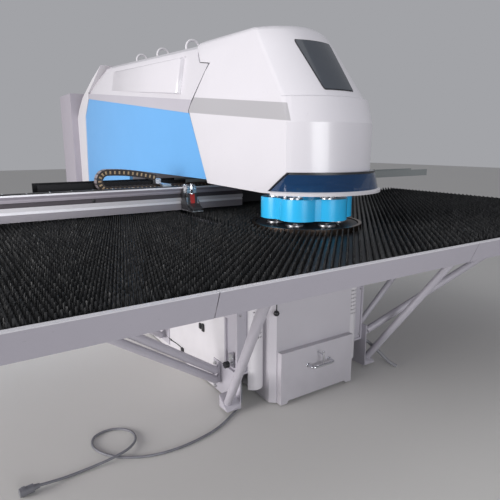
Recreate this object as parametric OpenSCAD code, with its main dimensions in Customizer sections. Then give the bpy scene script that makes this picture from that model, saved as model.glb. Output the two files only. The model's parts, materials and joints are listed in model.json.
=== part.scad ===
// Turret punch press on a C-shaped frame, with a brush table, a cross beam
// that carries the sheet clamps, and a head that covers the turret.
// All sizes are in millimetres. The origin is on the floor under the turret
// axis, +X runs along the front edge of the table and +Y towards the rear.

/* [Table] */
// Height of the table's front edge above the floor
table_h = 1050; // [980:5:1120]
// Reach of the table to the left of the turret axis
table_left = 2518; // [2300:1:2700]
// Reach of the table to the right of the turret axis
table_right = 2250; // [1900:1:2600]
// Reach of the table in front of the turret axis
table_front = 925; // [850:5:1000]
// Reach of the side tables behind the turret axis
table_rear = 1300; // [1100:5:1500]
// Length of one front fascia panel
fascia_panel = 1402; // [1200:1:1450]
// Place of the seam between the two inner fascia panels
fascia_seam = 286; // [200:1:400]
// Height of the fascia
fascia_h = 100; // [80:1:130]
// How far the fascia's lower edge is set back
fascia_lean = 40; // [0:1:60]
// Thickness of folded sheet
sheet_t = 3; // [2:0.5:4]
// Square tube of the table's underframe
frame_tube = 39; // [30:1:50]

/* [Brushes] */
// Height of the bristles above the tray
brush_h = 36; // [20:1:40]
// Distance from one row of bristles to the next
brush_pitch = 28; // [24:1:60]
// Thickness of one row of bristles
brush_row = 12; // [6:1:16]

/* [Turret] */
// Number of tool stations
stations = 6; // [4:1:6]
// Radius of the circle that the stations lie on
station_r = 182; // [175:1:190]
// Radius of one lobe of the upper turret
lobe_r = 112; // [104:1:118]
// Radius of the upper turret between its lobes
turret_core_r = 232; // [225:1:250]
// Reach of the upper turret's lobes from the axis
turret_r = 272; // [266:1:278]
// Height of the upper turret
turret_h = 120; // [100:1:125]
// Open height between the bristles and the upper turret
sheet_gap = 26; // [15:1:30]
// Radius of the die turret
die_turret_r = 298; // [290:1:305]
// Radius of one punch holder
punch_r = 44; // [36:1:50]
// Radius of a punch's cutting tip
punch_tip_r = 15; // [8:1:25]
// Radius of the ram
ram_r = 38; // [30:1:40]
// Working stroke of the ram
ram_stroke = 32; // [20:1:34]

/* [Head and covers] */
// Height of the arm's underside above the table
arm_gap = 240; // [238:1:250]
// Half width of the head, the arm and its covers
cover_w = 380; // [360:1:400]
// Half width of the head at its front corners
nose_w = 305; // [290:1:320]
// Reach of the head in front of the turret axis
nose_front = 342; // [330:1:350]
// Height of the head's roof
roof_h = 2150; // [2100:5:2200]
// Height of the arm's roof at its highest
arm_roof_h = 2235; // [2200:5:2260]
// Thickness of the moulded shells
shell_t = 6; // [4:1:10]
// Thickness of the side panels
panel_t = 30; // [15:1:35]
// Width of the dark joint between the shells
joint_gap = 4; // [1:0.5:8]
// Thickness of the clear visor
visor_t = 4; // [3:0.5:6]

/* [Base] */
// Half width of the base over its covers
base_w = 500; // [490:1:540]
// Half width of the cabinet at the front
cabinet_w = 320; // [315:1:340]
// Half width of the scrap drawer
drawer_w = 282; // [240:1:290]
// Height of the drawer front's top edge
drawer_h = 330; // [280:1:360]
// Distance from the turret axis to the cabinet's front
cabinet_front = 112; // [100:1:130]
// Length of the base behind the turret axis
base_rear = 3310; // [3300:5:3400]
// Depth of the C-frame's throat behind the turret axis
throat = 1974; // [1900:1:2050]
// Diameter of the table's strut tubes
strut_d = 48; // [40:1:60]

/* [Beam and clamps] */
// Distance from the turret axis to the clamp bar's face at rest
bar_face = 800; // [780:1:850]
// Length of the clamp bar
bar_len = 2500; // [2300:10:2600]
// Place of the clamp bar's right end at rest
bar_right = 60; // [40:1:80]
// Half length of the cross beam
beam_half = 1300; // [1200:10:1400]
// Height of the clamp bar
bar_h = 155; // [150:1:156]
// Thickness of the clamp bar
bar_t = 55; // [50:1:60]
// Half width of one sheet clamp
clamp_w = 45; // [35:1:55]
// Reach of the clamp's jaws in front of the bar
jaw_reach = 150; // [120:1:170]
// Height of one link of the drag chain
chain_h = 40; // [30:1:45]
// Pitch of the drag chain's links
chain_pitch = 30; // [28:1:40]

/* [Rear cabinet] */
// Half width of the electrical cabinet
ecab_w = 450; // [430:1:500]
// Depth of the electrical cabinet
ecab_d = 500; // [400:5:600]
// Height of the electrical cabinet's top above the floor
ecab_h = 2060; // [1900:5:2100]

/* [Floor cable] */
// Diameter of the floor cable
cable_d = 13; // [10:1:16]

/* [Hidden] */

// Running clearance on a round shaft, and between two flat faces that slide
fit = 0.05;
slide_gap = 0.3;
// A cut runs past the face that it opens by this much
over = 1;

// Heights that follow from the table's height
tray_top = table_h - 22;
tray_t = 4;
base_top = tray_top - tray_t - frame_tube;
brush_tip = tray_top + brush_h;
turret_z = brush_tip + sheet_gap;
turret_top = turret_z + turret_h;

// Heights that follow from the arm's underside and from its roof
arm_under = table_h + arm_gap;
column_rear_z = arm_under - 55;
head_low = arm_under - 47;
knee_z = arm_roof_h - 435;
band_rear_z = arm_roof_h - 215;
sole_h = 10;

// Colours of the finishes
white_paint = [0.91, 0.90, 0.88];
grey_paint = [0.70, 0.69, 0.71];
blue_paint = [0.16, 0.52, 0.82];
dark_steel = [0.20, 0.20, 0.22];
bright_steel = [0.72, 0.73, 0.75];

// Places in a circle, counted from the active station at the rear
function station_angle(i) = 90 + i * 360 / stations;
function polar(r, a) = [r * cos(a), r * sin(a)];

// A box given by its lowest and highest corners
module span(low, high) {
    translate(low) cube(high - low);
}

// A profile drawn in Y and Z, pushed along X from x0 to x1
module along_x(x0, x1) {
    translate([x0, 0, 0]) rotate([90, 0, 90]) linear_extrude(x1 - x0) children();
}

// A profile drawn in X and Z, pushed along Y from y0 to y1
module along_y(y0, y1) {
    translate([0, y1, 0]) rotate([90, 0, 0]) linear_extrude(y1 - y0) children();
}

// A round tube or rod between two points
module rod(a, b, d) {
    v = b - a;
    translate(a) rotate([0, acos(v.z / norm(v)), atan2(v.y, v.x)]) cylinder(h = norm(v), d = d, $fn = 40);
}

module mirrored(side) {
    if (side < 0) mirror([1, 0, 0]) children();
    else children();
}

// Base and cabinet

bay_z = 22;
bay_rear = 430;
chute_r = 45;
base_front = 126;
cabinet_rear = 480;
nose_top_t = 120;

module base_frame() {
    color(grey_paint) union() {
        span([-base_w + 30, cabinet_rear, sole_h], [base_w - 30, base_rear, base_top]);
        for (side = [-1, 1])
            for (y = [cabinet_rear + 120, base_rear - 120])
                translate([side * (base_w - 110), y, 0]) cylinder(h = sole_h, r = 60, $fn = 48);
    }
}

// Box under the dies, open at the front for the drawer
module scrap_cabinet() {
    w = cabinet_w;
    c = 30;
    color(white_paint) difference() {
        union() {
            translate([0, 0, sole_h]) linear_extrude(base_top - sole_h)
                polygon([[-w, cabinet_rear], [-w, c - cabinet_front], [c - w, -cabinet_front],
                         [w - c, -cabinet_front], [w, c - cabinet_front], [w, cabinet_rear]]);
            span([-200, -60, 0], [200, 60, sole_h + over]);
        }
        span([-drawer_w + 8, -cabinet_front - over, bay_z], [drawer_w - 8, bay_rear, drawer_h - 10]);
        translate([0, station_r, bay_z]) cylinder(h = table_h, r = chute_r, $fn = 64);
    }
}

module base_cover() {
    t = 30;
    color(white_paint) difference() {
        span([base_w - t, base_front, sole_h], [base_w, base_rear, base_top]);
        span([base_w - t - over, base_front + 25, sole_h + 25],
             [base_w - sheet_t, base_rear - 25, base_top - 25]);
    }
}

// Corner housing beside the cabinet, with a niche in its side
housing_z = 200;
gland_at = [-440, 40];
gland_h = 20;
module service_housing() {
    front = 20;
    color(grey_paint) difference() {
        span([cabinet_w, -front, housing_z], [base_w, base_front, base_top]);
        span([base_w - 14, 0, housing_z + 14], [base_w + over, base_front - 16, 520]);
        span([base_w - 70, -front - over, housing_z + 14], [base_w - 14, -front + 8, base_top - 30]);
        for (z = [640, 700, 760])
            translate([base_w - 42, -front + 20, z]) rotate([90, 0, 0]) cylinder(h = 30, r = 4, $fn = 20);
    }
}

module service_housing_left() {
    mirrored(-1) service_housing();
    color(dark_steel) translate([gland_at.x, gland_at.y, housing_z - gland_h]) cylinder(h = gland_h, r = 14, $fn = 48);
}
module service_housing_right() {
    service_housing();
}

grille_r = 62;
module grille_cover() {
    cx = cabinet_w + grille_r - 8;
    face = -20;
    low = 95;
    high = 880;
    color(white_paint) difference() {
        intersection() {
            translate([cx, face + 30, low]) cylinder(h = high - low, r = grille_r, $fn = 96);
            span([cabinet_w, face - grille_r, low], [base_w - 72, face, high]);
        }
        translate([cx, face + 30, low - over])
            cylinder(h = high - low - 10, r = grille_r - sheet_t, $fn = 96);
        for (row = [0:13], col = [-2:2])
            translate([cx, face + 30, 420 + row * 26])
                rotate([0, 0, -90 + col * 13]) translate([grille_r - 8, 0, 0])
                    rotate([0, 90, 0]) cylinder(h = 16, r = 4.5, $fn = 16);
    }
}

niche_x = -base_w + 14;
regulator_y = 30;
regulator_z = 310;
module air_regulator() {
    color(bright_steel) {
        span([niche_x - 18, regulator_y - 20, regulator_z - 70], [niche_x, regulator_y + 20, regulator_z - 20]);
        translate([niche_x - 22, regulator_y, regulator_z - 20]) cylinder(h = 12, r = 20, $fn = 48);
        translate([niche_x - 22, regulator_y, regulator_z - 20 + 12]) cylinder(h = 26, r = 16, $fn = 48);
        rod([niche_x - 17, regulator_y - 2, regulator_z - 45], [niche_x - 44, regulator_y - 2, regulator_z - 45], 12);
    }
}

module regulator_knob() {
    tip = [niche_x - 44 - slide_gap, regulator_y - 2, regulator_z - 45];
    color([0.06, 0.06, 0.07]) difference() {
        translate(tip) rotate([0, -90, 0]) cylinder(h = 26, r = 19, $fn = 48);
        for (a = [0:45:315])
            translate(tip) rotate([0, -90, 0]) rotate(a) translate([20, 0, 4]) cylinder(h = 26, r = 4, $fn = 16);
    }
}

// Drawer front with a ledge on top and two short feet
module scrap_drawer() {
    front = cabinet_front + 38;
    foot = 45;
    low = 24;
    box_w = drawer_w - 12;
    color(white_paint) difference() {
        union() {
            along_y(-front, -cabinet_front - slide_gap)
                polygon([[-drawer_w, 8], [foot - drawer_w, 8], [foot + 12 - drawer_w, low],
                         [drawer_w - foot - 12, low], [drawer_w - foot, 8], [drawer_w, 8],
                         [drawer_w, drawer_h], [-drawer_w, drawer_h]]);
            span([-box_w, -cabinet_front - slide_gap, low + 4], [box_w, bay_rear - 10, drawer_h - 40]);
        }
        span([-box_w + sheet_t, -cabinet_front, low + 4 + sheet_t],
             [box_w - sheet_t, bay_rear - 10 - sheet_t, drawer_h + over]);
    }
}

handle_z = 215;
handle_half = 82;
handle_d = 12;
module drawer_handle() {
    face = -cabinet_front - 38;
    reach = 52;
    color([0.82, 0.83, 0.85]) {
        for (side = [-1, 1])
            rod([side * handle_half, face, handle_z], [side * handle_half, face - reach, handle_z], handle_d);
        rod([-handle_half, face - reach, handle_z], [handle_half, face - reach, handle_z], handle_d);
        for (side = [-1, 1])
            translate([side * handle_half, face - reach, handle_z]) sphere(r = handle_d / 2 + 0.6, $fn = 32);
        translate([-8, face - reach, handle_z]) cylinder(h = 78, r = 4, $fn = 24);
        translate([-8, face - reach, handle_z + 66]) rotate([-90, 0, 0]) cylinder(h = reach, r = 4, $fn = 24);
    }
}

// Lever that hangs beside the cabinet, with a ball on its lower end
lever_x = -300;
lever_y = -cabinet_front - 14;
lever_z = 760;
module release_lever() {
    color([0.08, 0.08, 0.09]) {
        translate([lever_x, lever_y + 13.7, lever_z]) rotate([90, 0, 0]) cylinder(h = 22, r = 12, $fn = 40);
        rod([lever_x, lever_y, lever_z], [lever_x - 8, lever_y - 6, lever_z - 170], 7);
        translate([lever_x - 8, lever_y - 6, lever_z - 182]) sphere(r = 17, $fn = 48);
    }
}

// Struts under the table: foot, head and diameter
under_tray = tray_top - tray_t;
strut_list = [
    [[-564, -24, 60], [-831, -822, under_tray], strut_d],
    [[-540, 170, 110], [-1908, 118, under_tray], strut_d],
    [[-540, 170, 172], [-1780, 118, under_tray], strut_d],
    [[-540, 1000, 110], [-1908, 1000, under_tray], strut_d],
    [[564, -24, 60], [850, -603, under_tray], strut_d],
    [[540, -30, 260], [1778, -486, base_top], strut_d],
    [[540, 60, 260], [1165, -88, under_tray], strut_d - 8],
    [[540, 1000, 110], [1908, 1000, under_tray], strut_d]
];
pad_t = 6;
lug_t = 14;

// Half of space from a point onwards, square to a direction
module beyond(a, v) {
    translate(a) rotate([0, acos(v.z / norm(v)), atan2(v.y, v.x)]) translate([-200, -200, 0]) cube(400);
}

// Place on the strut's axis where its tube ends, so that the tube stays under the head's height
function strut_end(s) =
    let (v = s[1] - s[0], n = norm(v), flat = norm([v.x, v.y]))
    s[1] - (s[2] / 2 * flat / n + 2) / (v.z / n) * v / n;

// Foot of a strut, cut square to it: an upright plate for a strut to the side, a block for one to the front
module strut_foot(s) {
    v = s[1] - s[0];
    h = s[2] / 2 + 6;
    side = sign(s[0].x);
    wall = side * (base_w + pad_t / 2);
    back = (abs(s[0].x) - abs(wall)) / abs(v.x) * norm([v.x, v.y]);
    difference() {
        if (abs(v.y) > abs(v.x))
            span([min(wall, s[0].x + side * h), s[0].y - 40, s[0].z - h - 8],
                 [max(wall, s[0].x + side * h), s[0].y + 50, s[0].z + h + 8]);
        else
            translate(s[0]) rotate([90, 0, atan2(v.y, v.x)]) translate([0, 0, -lug_t / 2])
                linear_extrude(lug_t) polygon([[-back, 8 - h], [40, 8 - h], [40, h + 20], [-back, h + 8]]);
        beyond(s[0], v);
    }
}

// Head block under the table, cut square to the strut
module strut_head(s) {
    v = s[1] - s[0];
    end = strut_end(s);
    low = end.z - s[2] / 2 * norm([v.x, v.y]) / norm(v) - 4;
    difference() {
        translate([s[1].x, s[1].y, low]) rotate(atan2(v.y, v.x)) translate([-110, -s[2] / 2 - 4, 0])
            cube([120, s[2] + 8, s[1].z - low]);
        beyond(end, -v);
    }
}

module strut(s) {
    u = (s[1] - s[0]) / norm(s[1] - s[0]);
    rod(s[0] + slide_gap * u, strut_end(s) - slide_gap * u, s[2]);
}

module table_struts() {
    color(grey_paint) {
        for (s = strut_list) strut(s);
        for (s = strut_list) strut_foot(s);
        for (s = strut_list) strut_head(s);
        span([-base_w - pad_t, -60, 16], [-base_w, 250, 215]);
        span([base_w, -60, 16], [base_w + pad_t, 250, 310]);
        for (side = [-1, 1]) mirrored(side) span([base_w, 930, 50], [base_w + pad_t, 1070, 200]);
    }
}

// C-frame above the base

nose_half = 290;
arm_nose_front = 90;
nose_step_z = 1700;
nose_top_half = 250;
nose_top_y = 60;
arm_step_y = 520;
arm_body_top = 1740;
arm_high_top = min(arm_roof_h - 285, roof_h - 200);
nose_high_top = roof_h - 260;
ram_hole_top = arm_under + 380;
module c_column() {
    color(grey_paint) along_x(panel_t - cover_w, cover_w - panel_t)
        polygon([[throat, base_top], [base_rear, base_top], [base_rear, column_rear_z], [base_rear - 7, arm_under],
                 [throat, arm_under]]);
}

module c_arm() {
    color(grey_paint) difference() {
        union() {
            span([-nose_half, -arm_nose_front, arm_under], [nose_half, arm_step_y, nose_step_z]);
            span([-nose_top_half, nose_top_y, nose_step_z], [nose_top_half, arm_step_y, nose_high_top]);
            span([panel_t - cover_w, arm_step_y, arm_under], [cover_w - panel_t, throat, arm_body_top - 60]);
            along_x(panel_t - cover_w, cover_w - panel_t)
                polygon([[throat, arm_under], [base_rear - 7, arm_under], [base_rear - 56, knee_z - 10],
                         [3050, arm_high_top], [throat, arm_body_top - 60]]);
            span([-nose_half, arm_step_y, arm_body_top - 60], [nose_half, 2600, arm_high_top]);
        }
        translate([0, station_r, arm_under - over])
            cylinder(h = ram_hole_top - arm_under + over, r = ram_r + 6, $fn = 96);
    }
}

// Moulded head. One plan is cut at each height, and the form is drawn over them.
belt_z = 1613;
crease_z = 1747;
flare_y = 470;
shell_rear = 760;
arc_dy = 43;
arc_r = nose_front + arc_dy;

// Plan of the head: a round front between two corners, then flared sides
module head_plan(back, corner, side, inset) {
    r = arc_r - inset;
    half_angle = asin((nose_w - inset) / r);
    k = (corner - inset) / (nose_w - inset);
    polygon(concat(
        [for (i = [-12:12]) let (a = i * half_angle / 12) [k * r * sin(a), arc_dy + back - r * cos(a)]],
        [[side - inset, flare_y + back / 2], [side - inset, shell_rear], [inset - side, shell_rear],
         [inset - side, flare_y + back / 2]]));
}

// Height, setback of the front, half width at the corners and at the sides
head_slices = [
    [head_low, 0, nose_w, cover_w],
    [belt_z, 0, nose_w, cover_w],
    [crease_z, 64, nose_w - 5, cover_w],
    [2040, 297, nose_w - 30, cover_w - 45],
    [2110, 355, nose_w - 43, cover_w - 62],
    [roof_h - 10, 402, nose_w - 70, cover_w - 95],
    [roof_h, 452, nose_w - 115, cover_w - 140]
];
slice = 1;
module head_form(inset) {
    hull()
        for (s = head_slices)
            translate([0, 0, s[0] - slice - (s[0] > 2000 ? inset : 0)]) linear_extrude(slice)
                head_plan(s[1], s[2], s[3], inset);
}

// Line along which the front shell meets the rear shell and the side panels
shell_line = [[800, roof_h + 60], [752, 2133], [659, 2007], [542, 1989],
              [shell_rear + 2, 1720], [533, arm_under - 3], [520, arm_under - 25]];
// Ends of the visor on the head's side, at its foot and at its top
visor_end_y = -121;
visor_top_y = -213;
visor_top = arm_under + 72;
module front_shell_side() {
    polygon(concat([[-nose_front - 20, roof_h + 60]], shell_line,
                   [[0, head_low], [visor_end_y, head_low + 2], [visor_top_y, visor_top], [-nose_front - 20, visor_top]]));
}

glass_low = [-240, 1782];
glass_high = [-48, 2046];
glass_low_w = 98;
glass_high_w = 122;
glass_t = 8;
glass_run = glass_high - glass_low;
glass_len = norm(glass_run);
glass_tilt = atan2(glass_run.y, glass_run.x);

// Panel on the sloping face, as a plate of the given size and depth
module glass_plate(grow, depth) {
    translate([0, glass_low.x, glass_low.y]) rotate([glass_tilt, 0, 0])
        translate([0, 0, -depth]) linear_extrude(depth + grow * 20)
            polygon([[-glass_low_w - grow, -grow], [glass_low_w + grow, -grow],
                     [glass_high_w + grow, glass_len + grow], [-glass_high_w - grow, glass_len + grow]]);
}

module front_shell() {
    color(white_paint) difference() {
        intersection() {
            difference() {
                head_form(0);
                translate([0, 0, -slice]) head_form(shell_t);
            }
            along_x(-cover_w - 20, cover_w + 20) front_shell_side();
        }
        glass_plate(0.3, glass_t + 2);
    }
}

module windshield() {
    color([0.22, 0.24, 0.27]) glass_plate(0, glass_t);
}

// Arm cover. Sections across the arm are joined into one form.
band_front_z = 1694;
band_slope = (band_rear_z - band_front_z) / 3280;
function band_top(y) = band_front_z + (y + 190) * band_slope;
bow_y = 3092;
arm_sections = [[430, arm_roof_h - 117], [1500, arm_roof_h - 59], [2590, arm_roof_h],
                [2920, arm_roof_h - 95], [bow_y, arm_roof_h - 157]];
module arm_section(y, roof, inset) {
    knee = roof - 80;
    low = min(band_top(y), knee - 20);
    half = cover_w - inset;
    lean = 0.165 * (knee - low);
    translate([0, y, 0]) rotate([90, 0, 0]) linear_extrude(0.01)
        polygon([[-half, arm_under], [half, arm_under], [half, low], [half - lean, knee],
                 [half - lean - 22, roof - 34 - inset], [half - lean - 60, roof - 8 - inset],
                 [half - lean - 90, roof - inset], [90 + lean - half, roof - inset],
                 [60 + lean - half, roof - 8 - inset], [22 + lean - half, roof - 34 - inset],
                 [lean - half, knee], [-half, low]]);
}
module arm_form(inset) {
    hull() for (s = arm_sections) arm_section(s[0], s[1], inset);
}

band_start = shell_rear - 44;
module rear_shell_side() {
    g = joint_gap;
    polygon([[800 + g, roof_h + 90], [752 + g, 2133], [659 + g, 2007 - g], [542 + 2 * g, 1989 - g],
             [band_start, band_top(band_start)],
             [bow_y, band_top(bow_y)], [2600, arm_roof_h + 1], [2600, arm_roof_h + 90]]);
}
module rear_shell() {
    color(white_paint) intersection() {
        difference() {
            arm_form(0);
            arm_form(shell_t);
        }
        along_x(-cover_w - 20, cover_w + 20) rear_shell_side();
    }
}

panel_line = [[shell_rear + 2, 1704], [bow_y - 2, arm_roof_h - 269]];
function panel_top(y) = lookup(y, panel_line);
module side_bands() {
    front = shell_rear + 8;
    color(grey_paint) for (side = [-1, 1]) mirrored(side) along_x(cover_w - panel_t, cover_w)
        polygon([[front, panel_top(front)], panel_line[1], [bow_y, band_top(bow_y)],
                 [band_start, band_top(band_start)], [front, 1722]]);
}
module side_panel() {
    color(blue_paint) along_x(cover_w - panel_t, cover_w - 2)
        polygon([panel_line[0], [533 + joint_gap, arm_under - 3], [throat, arm_under - 3], [throat, base_top],
                 [base_rear, base_top], [base_rear, column_rear_z], [base_rear - 54, knee_z], panel_line[1]]);
}

module rear_frame() {
    color(white_paint) along_x(-cover_w - 4, cover_w + 4)
        polygon([[2600, arm_roof_h + 1], [2920, arm_roof_h - 93], [3320, arm_roof_h - 240],
                 [3490, arm_roof_h - 350], [3580, knee_z], [3580, sole_h],
                 [base_rear, sole_h], [base_rear, column_rear_z], [base_rear - 54, knee_z],
                 [bow_y, arm_roof_h - 267], [bow_y, band_top(bow_y)]]);
}

// Visor round the front of the turret, cut to the head's slanted edge, and its rim
rim_angle = 134;
visor_angle = 152;
visor_gap = 0.8;
visor_low_r = 402;
visor_high_r = 378;
visor_flange_r = 332;
rim_z = head_low + 2;
rim_h = 20;
module visor() {
    front = -visor_low_r - 20;
    color([0.45, 0.70, 0.90, 0.4]) intersection() {
        rotate(-90 - visor_angle / 2) rotate_extrude(angle = visor_angle, $fn = 120)
            polygon([[visor_low_r, rim_z + rim_h], [visor_high_r, visor_top], [visor_flange_r, visor_top],
                     [visor_flange_r, visor_top - visor_t], [visor_high_r - visor_t, visor_top - visor_t],
                     [visor_low_r - visor_t, rim_z + rim_h]]);
        hull() along_x(front, -front)
            polygon([[front, rim_z], [visor_end_y - visor_gap, rim_z], [visor_top_y - visor_gap, visor_top],
                     [visor_top_y - visor_gap, visor_top + over], [front, visor_top + over]]);
    }
}
module visor_rim() {
    color(white_paint) rotate(-90 - rim_angle / 2)
        rotate_extrude(angle = rim_angle, $fn = 120)
            polygon([[visor_low_r - 18, rim_z], [visor_low_r + 14, rim_z], [visor_low_r + 16, rim_z + rim_h - 6],
                     [visor_low_r + 2, rim_z + rim_h], [visor_low_r - 18, rim_z + rim_h]]);
}

// Lifting rings on the arm's roof: place along Y and ring size
ring_list = [[900, 50], [1420, 46], [2020, 42]];
roof_slope = (arm_sections[2][1] - arm_sections[0][1]) / (arm_sections[2][0] - arm_sections[0][0]);
module lifting_rings() {
    color(white_paint) for (s = ring_list)
        translate([0, s[0], arm_sections[0][1] + (s[0] - arm_sections[0][0]) * roof_slope + 0.3])
            rotate([atan(roof_slope), 0, 0]) {
                cylinder(h = 12, r = s[1] * 0.7, $fn = 48);
                translate([0, 0, 12 + s[1] * 0.86]) rotate([0, 90, 0])
                    rotate_extrude($fn = 64) translate([s[1] - 10, 0]) circle(r = 10, $fn = 24);
            }
}

// Table

slot_in = 395;
slot_out = 445;
slot_front = 300;
die_hole_r = die_turret_r + 4;
mid_rear = throat - 14;

module tube_row(points, z) {
    for (p = points) span([p[0], p[1], z], [p[2], p[3], z + frame_tube]);
}

// Tray plate on a frame of square tubes
module side_table(x0, x1) {
    t = frame_tube;
    y0 = -table_front + 32;
    color(grey_paint) {
        span([x0, -table_front + 15, tray_top - tray_t], [x1, table_rear, tray_top]);
        tube_row([[x0, y0, x1, y0 + t], [x0, table_rear - t, x1, table_rear]], base_top);
        tube_row([for (i = [0:4]) let (x = x0 + i * (x1 - x0 - t) / 4) [x, y0 + t, x + t, table_rear - t]], base_top);
    }
}
end_plate_t = 4;
module end_plate(x) {
    color(grey_paint)
        span([x, -table_front + fascia_lean + 40, table_h - fascia_h], [x + end_plate_t, table_rear, table_h]);
}
module table_left_frame() {
    side_table(-table_left + end_plate_t, -slot_out);
    end_plate(-table_left);
}
module table_right_frame() {
    side_table(slot_out, table_right - end_plate_t);
    end_plate(table_right - end_plate_t);
}
module table_mid_frame() {
    t = frame_tube;
    y0 = -table_front + 32;
    color(grey_paint) {
        difference() {
            union() {
                span([-slot_out, -table_front + 15, tray_top - tray_t], [slot_out, slot_front, tray_top]);
                span([-slot_in, slot_front, tray_top - tray_t], [slot_in, mid_rear, tray_top]);
            }
            translate([0, 0, base_top]) cylinder(h = frame_tube + tray_t + over, r = die_hole_r, $fn = 128);
        }
        for (side = [-1, 1]) mirrored(side) span([slot_in - t, y0, base_top], [slot_in, mid_rear, base_top + t]);
        tube_row([[t - slot_in, y0, slot_in - t, y0 + t], [t - slot_in, mid_rear - t, slot_in - t, mid_rear]], base_top);
    }
}

// Rows of bristles at 45 degrees, cut to the shape of the tray
brush_edge = 27;
module brush_rows(x0, x1, y1) {
    y0 = -table_front + brush_edge;
    step = brush_pitch * sqrt(2);
    reach = y1 - y0;
    first = ceil((x0 - reach) / step);
    last = floor(x1 / step);
    intersection() {
        translate([x0, y0]) square([x1 - x0, y1 - y0]);
        for (i = [first:last])
            polygon([[i * step, y0], [i * step + brush_row * sqrt(2), y0],
                     [i * step + brush_row * sqrt(2) + reach, y1], [i * step + reach, y1]]);
    }
}
module brush_left() {
    color([0.07, 0.07, 0.08]) translate([0, 0, tray_top]) linear_extrude(brush_h)
        brush_rows(-table_left + brush_edge, -slot_out - 3, table_rear - 6);
}
module brush_right() {
    color([0.07, 0.07, 0.08]) translate([0, 0, tray_top]) linear_extrude(brush_h)
        brush_rows(slot_out + 3, table_right - brush_edge, table_rear - 6);
}
module brush_mid() {
    color([0.07, 0.07, 0.08]) translate([0, 0, tray_top]) linear_extrude(brush_h) difference() {
        union() {
            brush_rows(-slot_out + 3, slot_out - 3, slot_front - 3);
            intersection() {
                brush_rows(-slot_in + 3, slot_in - 3, mid_rear - 6);
                translate([-slot_in, slot_front - 3]) square([2 * slot_in, mid_rear]);
            }
        }
        circle(r = ring_out_r + 2, $fn = 128);
    }
}

// Folded fascia: top flange, sloping face and bottom flange
module fascia_profile() {
    t = sheet_t;
    f = -table_front;
    top = table_h;
    low = table_h - fascia_h;
    back = fascia_lean;
    polygon([[f, top], [f + back, low], [f + back + 38, low], [f + back + 38, low + t],
             [f + back + t, low + t], [f + t + 0.5, top - t], [f + 22, top - t], [f + 22, tray_top],
             [f + 22 + t, tray_top], [f + 22 + t, top]]);
}
seam_gap = 3;
module fascia_run(x0, x1) {
    color(grey_paint) along_x(x0 + seam_gap / 2, x1 - seam_gap / 2) fascia_profile();
}
module fascia_outer_left() {
    fascia_run(-table_left, fascia_seam - fascia_panel);
}
module fascia_inner_left() {
    fascia_run(fascia_seam - fascia_panel, fascia_seam);
}
module fascia_inner_right() {
    fascia_run(fascia_seam, fascia_seam + fascia_panel);
}
module fascia_outer_right() {
    fascia_run(fascia_seam + fascia_panel, table_right);
}

// Guides of the beam on the base

rail_x = (slot_in + slot_out) / 2;
rail_w = 20;
rail_h = 26;
module y_rails() {
    color(bright_steel) for (side = [-1, 1]) mirrored(side)
        span([rail_x - rail_w / 2, slot_front + 20, base_top], [rail_x + rail_w / 2, base_rear - 900, base_top + rail_h]);
}
beam_front = bar_face + bar_t + 50;
beam_rear = beam_front + 310;
beam_z = brush_tip + 11;
beam_h = 120;
module y_saddles() {
    w = slot_out - slot_in - 6;
    color(dark_steel) for (side = [-1, 1]) mirrored(side) difference() {
        span([rail_x - w / 2, beam_front + 20, base_top + 5], [rail_x + w / 2, beam_rear - 20, beam_z]);
        span([rail_x - rail_w / 2 - slide_gap, beam_front, base_top],
             [rail_x + rail_w / 2 + slide_gap, beam_rear, base_top + rail_h + slide_gap]);
    }
}

// Cross beam with the guide blocks for the clamp bar
block_x = [-1150, -750, -350, 50];
guide_z = beam_z + 60;
guide_w = 28;
guide_d = 22;
module cross_beam() {
    color(dark_steel) {
        span([-beam_half, beam_front, beam_z], [beam_half, beam_rear, beam_z + beam_h]);
        for (x = block_x) difference() {
            span([x - 45, bar_face + bar_t + 8, guide_z - 32], [x + 45, beam_front, guide_z + 32]);
            span([x - 46, bar_face + bar_t, guide_z - guide_w / 2 - slide_gap],
                 [x + 46, bar_face + bar_t + guide_d + slide_gap, guide_z + guide_w / 2 + slide_gap]);
        }
    }
}

trough_z = beam_z + beam_h;
trough_y = beam_front + 100;
trough_w = 200;
trough_h = 62;
trough_right = 2440;
module cable_trough() {
    t = sheet_t;
    color([0.80, 0.82, 0.82]) along_x(-beam_half, trough_right)
        polygon([[trough_y, trough_z], [trough_y + trough_w, trough_z], [trough_y + trough_w, trough_z + trough_h],
                 [trough_y + trough_w - t, trough_z + trough_h], [trough_y + trough_w - t, trough_z + t],
                 [trough_y + t, trough_z + t], [trough_y + t, trough_z + trough_h], [trough_y, trough_z + trough_h]]);
}

// Clamp bar: a ribbed profile with a T-slot, and its guide rail behind
bar_z = brush_tip + 3;
bar_left = bar_right - bar_len;
slot_z = bar_z + bar_h - 49;
module bar_profile() {
    f = bar_face;
    z = bar_z;
    h = bar_h;
    difference() {
        translate([f, z]) square([bar_t, h]);
        translate([f - over, z + 49]) square([over + 10, 11]);
        translate([f - over, z + 60 + 24]) square([over + 6, 22]);
        translate([f - over, slot_z]) square([over + 14, 13]);
        translate([f + 8, slot_z - 8]) square([14, 28]);
        translate([f - over, z - over]) square([over + 6, 49 + over]);
    }
}
module clamp_bar() {
    color([0.80, 0.81, 0.82]) {
        along_x(bar_left, bar_right) bar_profile();
        span([bar_left + 20, bar_face + bar_t, guide_z - guide_w / 2],
             [bar_right - 20, bar_face + bar_t + guide_d, guide_z + guide_w / 2]);
    }
}

// Drag chain: links along two runs that a half turn joins
chain_left = -960;
chain_top_z = table_h + 295;
chain_y = beam_front + 50;
chain_w = 60;
chain_wall = 5;
chain_low_z = trough_z + chain_h / 2 + 0.3;
loop_r = (chain_top_z - chain_h / 2 - chain_low_z) / 2;
low_links = 46;
turn_links = 7;
top_links = 11;
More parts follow.
